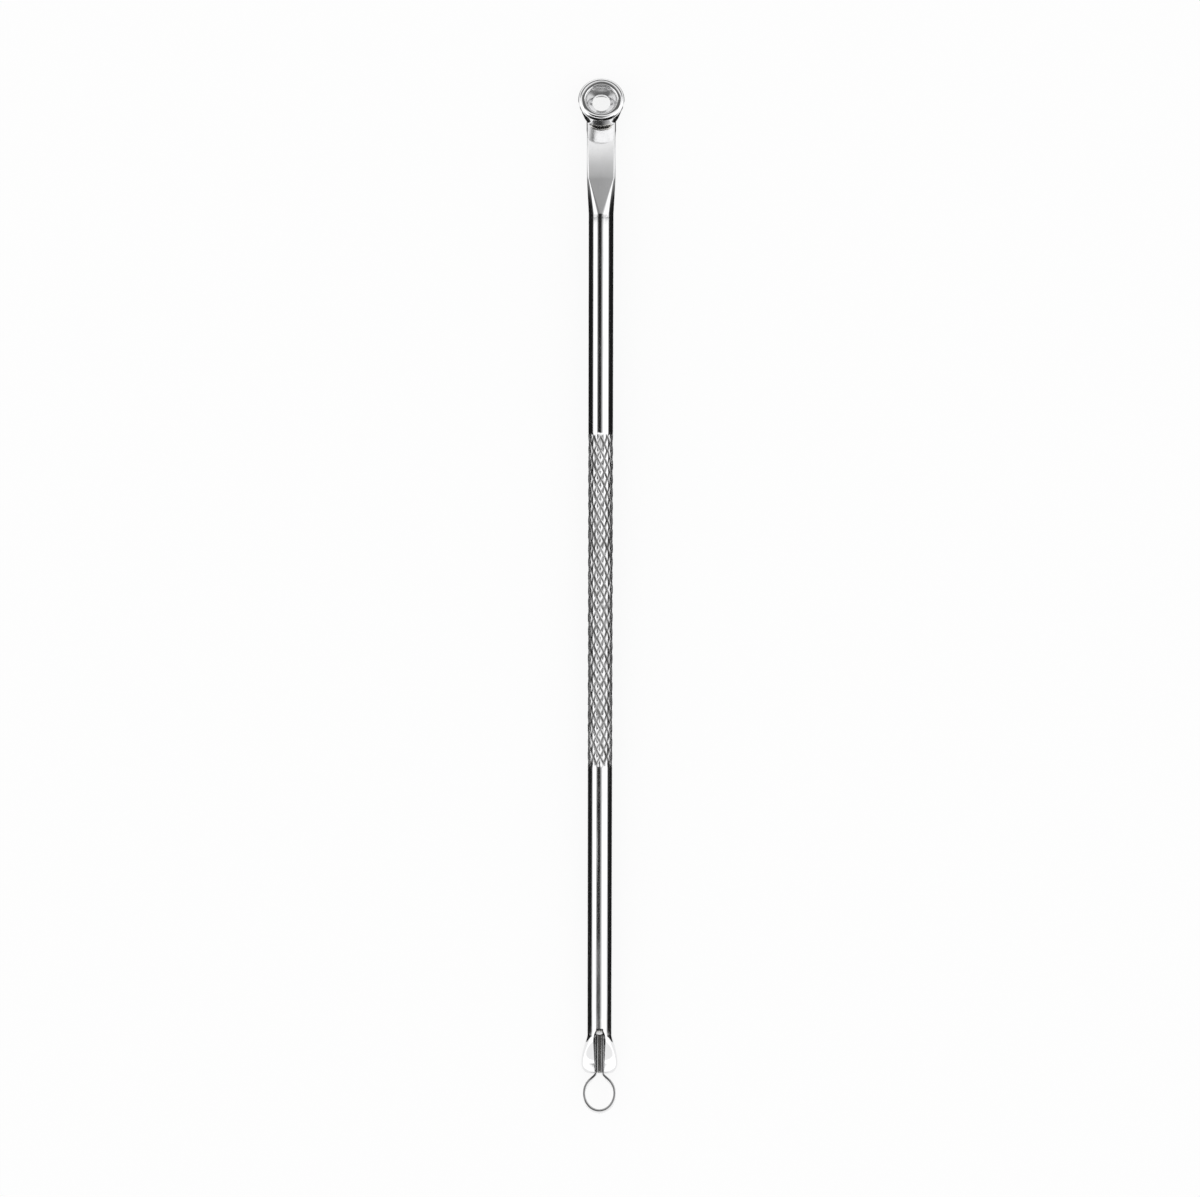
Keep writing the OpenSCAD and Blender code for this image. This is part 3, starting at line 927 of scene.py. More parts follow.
@dataclass(frozen=True)
class Cup(Piece):
    """The turned cup and the brazing fillet that holds it."""

    segments: int = 144
    lip_steps: int = 32
    cone_steps: int = 12
    # Places down the wall at which its rings stand, as shares of its height.
    wall_stops: tuple[float, ...] = (0.04, 0.2, 0.4, 0.6, 0.8, 0.96, 1.0)
    # Width of the softened edges, of the turned step under the lip, and of the corners in the hollow.
    edge: float = 0.03
    step_w: float = 0.06
    corner: float = 0.15
    # Steps along the fillet, points over its face, and start of the random numbers for its ripples.
    fillet_steps: int = 64
    fillet_points: int = 9
    fillet_seed: int = 11
    waves: int = 6
    # Share of the fillet's leg that is left at its ends, and the unevenness of the leg.
    least_leg: float = 0.2
    unevenness: float = 0.06

    def profile(self) -> np.ndarray:
        """Outline of the cup's section, round the metal.

        Returns:
            Rows of a distance from the cup's axis and a height.
        """
        cup, edge = self.tool.cup, self.edge
        first = 180 - cup.dish_edge_angle
        lip = []
        for k in range(self.lip_steps + 1):
            a = math.radians(first - first * k / self.lip_steps)
            lip.append((cup.lip_pos_r + cup.lip_r * math.cos(a), cup.lip_pos_h + cup.lip_r * math.sin(a)))
        cone_r, cone_h = lip[0]
        hole_r, hollow_r = cup.hole_d / 2, cup.hollow_d / 2
        way = Vector((cone_r - hole_r, cone_h - cup.hole_top_h)).normalized()
        # The hole's wall and its softened upper edge, and the cone up to the lip.
        cone = [
            (hole_r, cup.hollow_h + edge),
            (hole_r, cup.hole_top_h - edge),
            (hole_r + way.x * edge * 0.4, cup.hole_top_h + way.y * edge * 0.4 - edge * 0.2),
            (hole_r + way.x * edge * 1.6, cup.hole_top_h + way.y * edge * 1.6),
        ]
        for k in range(1, self.cone_steps):
            w = k / self.cone_steps
            cone.append((hole_r + (cone_r - hole_r) * w, cup.hole_top_h + (cone_h - cup.hole_top_h) * w))
        # A small turned step between the cone and the lip.
        step = [
            (cone_r - way.x * self.step_w, cone_h - way.y * self.step_w),
            (cone_r - way.x * 0.05 + 0.03, cone_h - way.y * 0.05 - 0.02),
            (cone_r + 0.02, cone_h - 0.01),
        ]
        wall = [(cup.diameter / 2 + (cup.base_r - cup.diameter / 2) * w,
                 cup.lip_pos_h + (cup.chamfer - cup.lip_pos_h) * w) for w in self.wall_stops]
        base = [(cup.base_r - cup.chamfer, 0), (hollow_r + edge, 0), (hollow_r, edge)]
        corner = self.corner
        hollow = [(hollow_r, cup.hollow_h - corner), (hollow_r - corner / 3, cup.hollow_h - corner / 3),
                  (hollow_r - corner, cup.hollow_h), (hole_r + edge, cup.hollow_h)]
        return np.array(cone + step + lip[1:] + wall + base + hollow)

    def build(self) -> Object:
        """Turns the profile round the cup's axis.

        Returns:
            The cup.
        """
        shell = Shell()
        a = np.arange(self.segments) * 2 * math.pi / self.segments
        rings = []
        for r, h in self.profile():
            height = np.full(self.segments, h + self.tool.cup.seam_gap)
            rings.append(shell.add_ring(np.column_stack([r * np.cos(a), r * np.sin(a), height])))
        for low, high in zip(rings, rings[1:] + rings[:1]):
            shell.wall(high, low, self.segments)
        return settle_mesh(shell.build("cup_bowl", self.cup_place, 32))

    def build_fillet(self) -> Object:
        """Makes the hollow bead of brazing metal round the near side of the cup.

        Returns:
            The bead, thinner and slightly uneven towards its ends.
        """
        cup, neck = self.tool.cup, self.tool.neck
        lean = (cup.diameter / 2 - cup.base_r) / cup.lip_pos_h
        foot = cup.base_r + cup.seam_gap
        reach = math.asin((neck.width / 2 - neck.bulge) / (foot + cup.fillet_leg)) - 0.02
        waves = np.random.default_rng(self.fillet_seed).random(self.waves) * 2 * math.pi
        bend = np.linspace(0, math.pi / 2, self.fillet_points)
        rings = []
        for share in 2 * np.arange(self.fillet_steps + 1) / self.fillet_steps - 1:
            a = -math.pi / 2 + reach * share
            taper = (1 - abs(share) ** 5) ** 0.5 * (1 - self.least_leg) + self.least_leg
            wobble = sum(math.sin((n + 2) * 2.1 * share + wave) / (n + 3) for n, wave in enumerate(waves))
            leg = cup.fillet_leg * taper * (0.93 + self.unevenness * wobble)
            up = leg * (1 - np.cos(bend))
            out = np.concatenate([[foot], foot + leg * (1 - np.sin(bend)) + 0.004 + up * lean])
            up = np.concatenate([[0.0], up])
            rings.append(np.column_stack([out * math.cos(a), out * math.sin(a), up + cup.seam_gap]))
        shell = Shell()
        shell.tube(rings)
        return settle_mesh(shell.build("cup_fillet", self.cup_place, 50))


@dataclass(frozen=True)
class RibbonLoop(Piece):
    """The ribbon loop with its legs, and the brazing metal between them."""

    corner_steps: int = 4
    # Two more rings on each leg, by their place before the tail's end, and steps over its turn and the oval.
    leg_stops: tuple[float, float] = (-2.0, -0.6)
    turn_steps: int = 22
    oval_steps: int = 120
    # Depth of the filler's hollow upper side, and depth and length of its hollow mouth.
    sag: float = 0.012
    mouth: float = 0.16
    mouth_len: float = 0.4
    below_edge: float = 0.015
    side_gap: float = 0.02
    filler_points: int = 13
    # Rings over the filler's mouth and over the rest of it, and where that rest begins.
    mouth_rings: int = 9
    body_rings: int = 12
    body_start: float = 0.6
    # Size, pace along the filler and shift of the ripples in its upper side.
    ripples: tuple[tuple[float, float, float], ...] = ((0.004, 5, 0), (0.002, 13, 1))

    def path(self) -> np.ndarray:
        """Runs along the middle of the ribbon, from the end of one leg to the end of the other.

        Returns:
            Rows of x, t, and the way in x and t.
        """
        loop = self.tool.loop
        half_w, half_len = (loop.width - loop.ribbon_t) / 2, loop.oval_len / 2
        first = math.radians(loop.splay_angle)

        def oval(a: float) -> tuple[np.ndarray, np.ndarray]:
            """Point and direction of the oval at angle a from its near end."""
            point = np.array([half_w * math.sin(a), loop.tip_t - half_len * (1 + math.cos(a))])
            way = np.array([half_w * math.cos(a), half_len * math.sin(a)])
            return point, way / np.linalg.norm(way)

        joint, joint_way = oval(first)
        c = [np.array([loop.leg_x, -loop.splay_start]), np.array([loop.leg_x, loop.splay_start]),
             joint - joint_way * loop.splay_pull, joint]
        leg = [(np.array([loop.leg_x, t]), np.array([0.0, 1.0])) for t in (-loop.leg_len, *self.leg_stops)]
        for u in np.linspace(0, 1, self.turn_steps, endpoint=False):
            point = (c[0] * (1 - u) ** 3 + 3 * c[1] * u * (1 - u) ** 2
                     + 3 * c[2] * u * u * (1 - u) + c[3] * u**3)
            way = (c[1] - c[0]) * (1 - u) ** 2 + 2 * (c[2] - c[1]) * u * (1 - u) + (c[3] - c[2]) * u * u
            leg.append((point, way / np.linalg.norm(way)))
        round_part = [oval(first + (2 * math.pi - 2 * first) * k / self.oval_steps)
                      for k in range(self.oval_steps + 1)]
        back = [(p * [-1, 1], w * [1, -1]) for p, w in reversed(leg)]
        return np.array([[*p, *w] for p, w in leg + round_part + back])

    def build(self) -> Object:
        """Sweeps the ribbon's rounded section along its path.

        Returns:
            The ribbon.
        """
        loop, tool, steps = self.tool.loop, self.tool, self.corner_steps
        corner, step = np.divmod(np.arange(4 * (steps + 1)), steps + 1)
        a = math.pi / 2 * (corner + step / steps)
        side = np.where((corner == 0) | (corner == 3), 1, -1) * (loop.ribbon_t / 2 - loop.ribbon_round)
        side = side + loop.ribbon_round * np.cos(a)
        lift = np.where(corner < 2, 1, -1) * (loop.ribbon_w / 2 - loop.ribbon_round)
        lift = lift + loop.ribbon_round * np.sin(a)
        rings = []
        for x, t, way_x, way_t in self.path():
            rise = math.radians(loop.rise) * float(clamp01(t / loop.bend_len))
            out = np.array([0, -math.cos(rise), math.sin(rise)])
            up = np.array([0, math.sin(rise), math.cos(rise)])
            across = out * way_x - np.array([1.0, 0, 0]) * way_t
            middle = np.array([x, tool.tail_end_y - float(loop.run(t)), tool.leg_z + float(loop.climb(t))])
            rings.append(middle + np.outer(side, across) + np.outer(lift, up))
        shell = Shell()
        shell.tube(rings)
        return settle_mesh(shell.build("loop_ribbon", self.rest.matrix, 60))

    def build_braze(self) -> Object:
        """Makes the brazing metal between the legs, with a hollow upper side and a hollow mouth.

        Returns:
            The filler.
        """
        loop, tool, n = self.tool.loop, self.tool, self.filler_points
        half = loop.leg_gap / 2 - self.side_gap
        x = np.linspace(-half, half, n)
        arch = 1 - (x / half) ** 2
        top = loop.ribbon_w / 2 - self.below_edge - self.sag * arch
        bottom = np.full(n, -loop.ribbon_w / 2)
        rings = []
        stops = [np.linspace(0, self.mouth_len, self.mouth_rings),
                 np.linspace(self.body_start, loop.leg_len, self.body_rings)]
        for t in np.concatenate(stops):
            pull = self.mouth * np.sqrt(clamp01(arch)) * float(clamp01(1 - t / self.mouth_len))
            y = tool.tail_end_y + t + np.concatenate([pull, pull[::-1]])
            ripple = sum(size * math.sin(pace * t + shift) for size, pace, shift in self.ripples)
            z = tool.leg_z + np.concatenate([top + ripple * arch, bottom])
            rings.append(np.column_stack([np.concatenate([x, x[::-1]]), y, z]))
        shell = Shell()
        shell.tube(rings)
        return settle_mesh(shell.build("loop_filler", self.rest.matrix, 50))


# Finishes of the pieces


class Lay(Enum):
    """Direction in which a surface was ground or turned."""

    ALONG = "along the rod"
    ROUND_Z = "round the piece's own axis"


class Tree:
    """Adds nodes to a tree and joins them."""

    def __init__(self, tree: NodeTree) -> None:
        """Keeps the tree."""
        self.tree = tree

    def add(self, kind: str, **inputs: Value) -> Node:
        """Adds a node, and sets or joins its inputs by name.

        Args:
            kind: Blender's name of the node type, without its prefix ShaderNode.
            inputs: Values or sockets, with underscores for the spaces in the inputs' names.

        Returns:
            The node.
        """
        node = self.tree.nodes.new("ShaderNode" + kind)
        for name, value in inputs.items():
            self.put(node.inputs[name.replace("_", " ")], value)
        return node

    def group(self, group: NodeTree, **inputs: Value) -> Node:
        """Adds a node group, and sets or joins its inputs by name.

        Args:
            group: The group.
            inputs: Values or sockets.

        Returns:
            The node.
        """
        node = self.add("Group")
        node.node_tree = group
        for name, value in inputs.items():
            self.put(node.inputs[name], value)
        return node

    def put(self, socket: Socket, value: Value) -> None:
        """Joins a socket to an input, or sets the input's own value.

        Args:
            socket: The input.
            value: A value or a socket.
        """
        if isinstance(value, Socket):
            self.tree.links.new(value, socket)
        else:
            socket.default_value = value

    def math(self, operation: str, a: Value, b: Value = 0.0, c: Value = 0.0, clamp: bool = False) -> Socket:
        """Adds a maths node and returns its result.

        Args:
            operation: Blender's name of it.
            a: First value.
            b: Second value.
            c: Third value.
            clamp: Whether the result is kept from 0 to 1.

        Returns:
            The result.
        """
        node = self.tree.nodes.new("ShaderNodeMath")
        node.operation = operation
        node.use_clamp = clamp
        for socket, value in zip(node.inputs, (a, b, c)):
            self.put(socket, value)
        return node.outputs[0]

    def vector(self, operation: str, a: Value, b: Value = (0.0, 0.0, 0.0)) -> Socket:
        """Adds a vector maths node and returns its vector.

        Args:
            operation: Blender's name of it.
            a: First vector.
            b: Second vector.

        Returns:
            The result.
        """
        node = self.tree.nodes.new("ShaderNodeVectorMath")
        node.operation = operation
        self.put(node.inputs[0], a)
        self.put(node.inputs[1], b)
        return node.outputs[0]

    def spread(self, value: Value, low: float, high: float, to_low: float = 0.0,
               to_high: float = 1.0) -> Socket:
        """Maps a range of values smoothly to another and returns the result.

        Args:
            value: The value.
            low: Start of its range.
            high: End of its range.
            to_low: Result at the start.
            to_high: Result at the end.

        Returns:
            The result.
        """
        node = self.tree.nodes.new("ShaderNodeMapRange")
        node.interpolation_type = "SMOOTHSTEP"
        for socket, v in zip(node.inputs, (value, low, high, to_low, to_high)):
            self.put(socket, v)
        return node.outputs[0]

    def blend(self, factor: Value, a: Value, b: Value, mode: str = "MIX") -> Socket:
        """Mixes two colours and returns the result.

        Args:
            factor: Share of the second colour.
            a: First colour.
            b: Second colour.
            mode: Blender's name of the way to mix.

        Returns:
            The result.
        """
        node = self.tree.nodes.new("ShaderNodeMix")
        node.data_type = "RGBA"
        node.blend_type = mode
        self.put(node.inputs[0], factor)
        self.put(node.inputs[6], a)
        self.put(node.inputs[7], b)
        return node.outputs[2]

    def grey(self, level: Socket) -> Socket:
        """Turns a level into a colour."""
        return self.add("CombineColor", Red=level, Green=level, Blue=level).outputs[0]


def bare_material(name: str) -> tuple[Material, Tree]:
    """Makes a material with no nodes, and gives it with its tree.

    Args:
        name: Its name.

    Returns:
        The material and its tree helper.
    """
    material = bpy.data.materials.new(name)
    material.use_nodes = True
    material.node_tree.nodes.clear()
    return material, Tree(material.node_tree)


def new_group(name: str, inputs: dict[str, tuple[str, object]],
              outputs: dict[str, str]) -> tuple[NodeTree, Tree, dict]:
    """Makes an empty node group with its sockets.

    Args:
        name: The group's name.
        inputs: Socket kind and default value by name.
        outputs: Socket kind by name.

    Returns:
        The group, its tree helper, and its input sockets by name.
    """
    group = bpy.data.node_groups.new(name, "ShaderNodeTree")
    for label, (kind, value) in inputs.items():
        socket = group.interface.new_socket(name=label, in_out="INPUT", socket_type="NodeSocket" + kind)
        if value is not None:
            socket.default_value = value
    for label, kind in outputs.items():
        group.interface.new_socket(name=label, in_out="OUTPUT", socket_type="NodeSocket" + kind)
    entry = group.nodes.new("NodeGroupInput")
    return group, Tree(group), {s.name: s for s in entry.outputs if s.name}


def close_group(tree: Tree, **results: Value) -> None:
    """Joins a group's results to its outputs.

    Args:
        tree: The group's tree helper.
        results: Values or sockets by name.
    """
    leave = tree.tree.nodes.new("NodeGroupOutput")
    for name, value in results.items():
        tree.put(leave.inputs[name.replace("_", " ")], value)


class Effects:
    """Effects that several finishes share, as node groups."""

    def __init__(self) -> None:
        """Builds every group once."""
        self.lines = self.make_lines()
        self.turned = self.make_turned()
        self.scratches = self.make_scratches()
        self.handling = self.make_handling()
        self.knurl = self.make_knurl()

    @staticmethod
    def make_lines() -> NodeTree:
        """Fine parallel grinding lines across a position that is already stretched along them.

        Returns:
            The group.
        """
        group, tree, entry = new_group(
            "grinding_lines",
            {"Position": ("Vector", None), "Contrast": ("Float", 1.0)},
            {"Height": "Float", "Mask": "Float"},
        )
        fine = tree.add("TexNoise", Vector=entry["Position"], Scale=1.0, Detail=3.0, Roughness=0.65)
        wide = tree.add("TexNoise", Vector=tree.vector("MULTIPLY", entry["Position"], (0.21, 0.21, 0.21)),
                        Scale=1.0, Detail=2.0, Roughness=0.5)
        height = tree.math("MULTIPLY_ADD", wide.outputs[0], 0.6, fine.outputs[0])
        mask = tree.spread(fine.outputs[0], 0.52, 0.75)
        close_group(tree, Height=tree.math("MULTIPLY", height, entry["Contrast"]),
                    Mask=tree.math("MULTIPLY", mask, entry["Contrast"]))
        return group

    @staticmethod
    def make_turned() -> NodeTree:
        """Changes a position to distance from the Z axis, way round it, and height, for turned marks.

        Returns:
            The group.
        """
        group, tree, entry = new_group(
            "turned_position",
            {"Position": ("Vector", None), "Round": ("Float", 0.05)},
            {"Position": "Vector"},
        )
        part = tree.add("SeparateXYZ", Vector=entry["Position"])
        flat = tree.add("CombineXYZ", X=part.outputs[0], Y=part.outputs[1])
        length = tree.tree.nodes.new("ShaderNodeVectorMath")
        length.operation = "LENGTH"
        tree.put(length.inputs[0], flat.outputs[0])
        radius = length.outputs[1]
        turn = tree.math("ARCTAN2", part.outputs[1], part.outputs[0])
        around = tree.math("MULTIPLY", tree.math("MULTIPLY", turn, radius), entry["Round"])
        joined = tree.add("CombineXYZ", X=radius, Y=around, Z=part.outputs[2])
        close_group(tree, Position=joined.outputs[0])
        return group

    @staticmethod
    def make_scratches() -> NodeTree:
        """Sparse hair scratches that run in two slanting directions.

        Returns:
            The group.
        """
        group, tree, entry = new_group(
            "hair_scratches",
            {"Position": ("Vector", None), "Density": ("Float", 1.0)},
            {"Mask": "Float"},
        )
        masks = []
        for turn, shift in ((0.35, 3.1), (-0.6, 7.7)):
            slant = tree.add("Mapping", Vector=entry["Position"], Location=(shift, shift * 2, -shift),
                             Rotation=(0.3 * turn, turn, turn), Scale=(2.6, 0.09, 2.6))
            noise = tree.add("TexNoise", Vector=slant.outputs[0], Scale=1.0, Detail=1.0)
            masks.append(tree.spread(noise.outputs[0], 0.68, 0.78))
        both = tree.math("MAXIMUM", masks[0], masks[1])
        close_group(tree, Mask=tree.math("MULTIPLY", both, entry["Density"]))
        return group

    @staticmethod
    def make_handling() -> NodeTree:
        """Cloudy film left by handling, and tiny specks.

        Returns:
            The group.
        """
        group, tree, entry = new_group(
            "handling_film",
            {"Position": ("Vector", None), "Scale": ("Float", 0.16)},
            {"Film": "Float", "Specks": "Float"},
        )
        cloud = tree.add("TexNoise", Vector=entry["Position"], Scale=entry["Scale"], Detail=4.0,
                         Roughness=0.6, Distortion=0.6)
        film = tree.spread(cloud.outputs[0], 0.42, 0.7)
        grain = tree.add("TexNoise", Vector=entry["Position"], Scale=9.0, Detail=1.0)
        specks = tree.math("MULTIPLY", tree.spread(grain.outputs[0], 0.7, 0.78), film)
        close_group(tree, Film=film, Specks=specks)
        return group

    @staticmethod
    def make_knurl() -> NodeTree:
        """How deep a point of the knurl lies, from its distance to the rod's axis.

        Returns:
            The group.
        """
        group, tree, entry = new_group(
            "knurl_depth_masks",
            {"Position": ("Vector", None), "Crest": ("Float", 1.5), "Valley": ("Float", 1.34),
             "Half Length": ("Float", 19.7)},
            {"Grip": "Float", "Valleys": "Float"},
        )
        part = tree.add("SeparateXYZ", Vector=entry["Position"])
        square = tree.math("MULTIPLY_ADD", part.outputs[0], part.outputs[0],
                           tree.math("MULTIPLY", part.outputs[2], part.outputs[2]))
        radius = tree.math("SQRT", square)
        along = tree.math("ABSOLUTE", part.outputs[1])
        inside = tree.math("SUBTRACT", entry["Half Length"], along)
        grip = tree.spread(inside, -0.2, 0.2)
        depth = tree.math("DIVIDE", tree.math("SUBTRACT", entry["Crest"], radius),
                          tree.math("SUBTRACT", entry["Crest"], entry["Valley"]), clamp=True)
        # Valleys is the grooves' mask by depth; RodFinish paints shade and roughness from it.
        close_group(tree, Grip=grip, Valleys=tree.math("MULTIPLY", tree.spread(depth, 0.22, 0.85), grip))
        return group


@dataclass(frozen=True)
class SteelFinish:
    """Ground and polished steel.

    Attributes:
        name: Name of the material.
        colour: Colour of the clean metal.
        film: Colour under handling film.
        roughness: Roughness where it is cleanest.
        film_roughness: Roughness added by the film.
        line_pitch: Mean distance between grinding lines, in millimetres.
        line_len: Mean length of a line, in millimetres.
        line_depth: Depth of the lines, in millimetres.
        lay: Direction of the lines.
        line_shade: Brightness in a line, as a share of the metal's.
        line_roughness: Roughness added in a line.
        hair_roughness: Roughness added in a hair scratch.
        hair_depth: Depth of a hair scratch as a share of the lines' depth.
    """

    name: str
    colour: tuple[float, float, float, float]
    film: tuple[float, float, float, float]
    roughness: float
    film_roughness: float
    line_pitch: float
    line_len: float
    line_depth: float
    lay: Lay = Lay.ALONG
    line_shade: float = 0.94
    line_roughness: float = 0.05
    hair_roughness: float = 0.12
    hair_depth: float = 0.5

    def position(self, tree: Tree, effects: Effects) -> tuple[Socket, Socket]:
        """Adds the position in the piece's own frame.

        Args:
            tree: The material's tree.
            effects: The shared node groups.

        Returns:
            The plain position, and the position stretched along the lines.
        """
        place = tree.tree.nodes.new("ShaderNodeAttribute")
        place.attribute_name = OWN_PLACE
        plain = place.outputs["Vector"]
        across, along = 1 / self.line_pitch, 1 / self.line_len
        if self.lay is Lay.ALONG:
            return plain, tree.vector("MULTIPLY", plain, (across, along, across))
        turned = tree.group(effects.turned, Position=plain, Round=self.line_pitch / self.line_len)
        return plain, tree.vector("MULTIPLY", turned.outputs[0], (across, across, across))

    def build(self, effects: Effects) -> Material:
        """Makes the material.

        Args:
            effects: The shared node groups.

        Returns:
            The material.
        """
        material, tree = bare_material(self.name)
        plain, stretched = self.position(tree, effects)
        lines = tree.group(effects.lines, Position=stretched)
        hair = tree.group(effects.scratches, Position=plain)
        film = tree.group(effects.handling, Position=plain)
        colour = tree.blend(film.outputs["Film"], self.colour, self.film)
        shade = tree.spread(lines.outputs["Mask"], 0.0, 1.0, 1.0, self.line_shade)
        colour = tree.blend(1.0, colour, shade, "MULTIPLY")
        rough = tree.math("MULTIPLY_ADD", film.outputs["Film"], self.film_roughness, self.roughness)
        rough = tree.math("MULTIPLY_ADD", lines.outputs["Mask"], self.line_roughness, rough)
        rough = tree.math("MULTIPLY_ADD", hair.outputs[0], self.hair_roughness, rough)
        height = tree.math("MULTIPLY_ADD", hair.outputs[0], -self.hair_depth, lines.outputs["Height"])
        colour, rough = self.dress(tree, effects, plain, colour, rough)
        bump = tree.add("Bump", Strength=1.0, Distance=self.line_depth * MM, Height=height)
        shader = tree.add("BsdfPrincipled", Metallic=1.0, Base_Color=colour, Roughness=rough,
                          Normal=bump.outputs[0])
        tree.add("OutputMaterial", Surface=shader.outputs[0])
        return material

    def dress(self, tree: Tree, effects: Effects, plain: Socket, colour: Socket,
              rough: Socket) -> tuple[Socket, Socket]:
        """Adds nothing more to plain steel."""
        return colour, rough


@dataclass(frozen=True)
class RodFinish(SteelFinish):
    """Polished rod whose knurl has painted shade and more roughness in its grooves, and slightly rougher
    crests.
    """

    # Colour of the painted shade in the knurl's grooves.
    groove: tuple[float, float, float, float] = (0.15, 0.147, 0.143, 1.0)
    groove_roughness: float = 0.4
    crest_roughness: float = 0.1

    def dress(self, tree: Tree, effects: Effects, plain: Socket, colour: Socket,
              rough: Socket) -> tuple[Socket, Socket]:
        """Paints shade into the grooves of the knurl, patchy by noise, dulls them, and dulls its crests a
        little.

        Args:
            tree: The material's tree.
            effects: The shared node groups.
            plain: The position in the piece's own frame.
            colour: The plain steel's colour.
            rough: The plain steel's roughness.

        Returns:
            The new colour and roughness.
        """
        knurl_masks = tree.group(effects.knurl, Position=plain)
        # Noise that makes the painted shade in the grooves patchy.
        shade_patches = tree.add("TexNoise", Vector=plain, Scale=1.4, Detail=3.0)
        patchy = tree.spread(shade_patches.outputs[0], 0.3, 0.65, 0.55, 1.0)
        # Painted shade: the colour turns towards the groove colour the deeper a point lies in the knurl.
        deep = tree.math("MULTIPLY", knurl_masks.outputs["Valleys"], patchy)
        colour = tree.blend(deep, colour, self.groove)
        rough = tree.math("MULTIPLY_ADD", knurl_masks.outputs["Valleys"], self.groove_roughness, rough)
        rough = tree.math("MULTIPLY_ADD", knurl_masks.outputs["Grip"], self.crest_roughness, rough)
        return colour, rough


class Finishes:
    """The finishes of the pieces, by the record's slots."""

    def __init__(self) -> None:
        """Builds the effects and the materials."""
        effects = Effects()
        self.rod = RodFinish(
            "polished_rod", (0.83, 0.83, 0.835, 1), (0.78, 0.78, 0.785, 1),
            roughness=0.1, film_roughness=0.05, line_pitch=0.05, line_len=4.0, line_depth=0.0002,
        ).build(effects)
        self.cup = SteelFinish(
            "turned_cup", (0.86, 0.86, 0.865, 1), (0.8, 0.8, 0.8, 1),
            roughness=0.1, film_roughness=0.05, line_pitch=0.045, line_len=3.0, line_depth=0.0003,
            lay=Lay.ROUND_Z,
        ).build(effects)
        self.braze = SteelFinish(
            "silver_braze", (0.8, 0.79, 0.77, 1), (0.7, 0.68, 0.64, 1),
            roughness=0.18, film_roughness=0.1, line_pitch=0.12, line_len=0.2, line_depth=0.0008,
        ).build(effects)
        self.ribbon = SteelFinish(
            "drawn_ribbon", (0.78, 0.78, 0.785, 1), (0.72, 0.72, 0.725, 1),
            roughness=0.12, film_roughness=0.06, line_pitch=0.03, line_len=1.5, line_depth=0.0003,
        ).build(effects)


# Studio round the tool


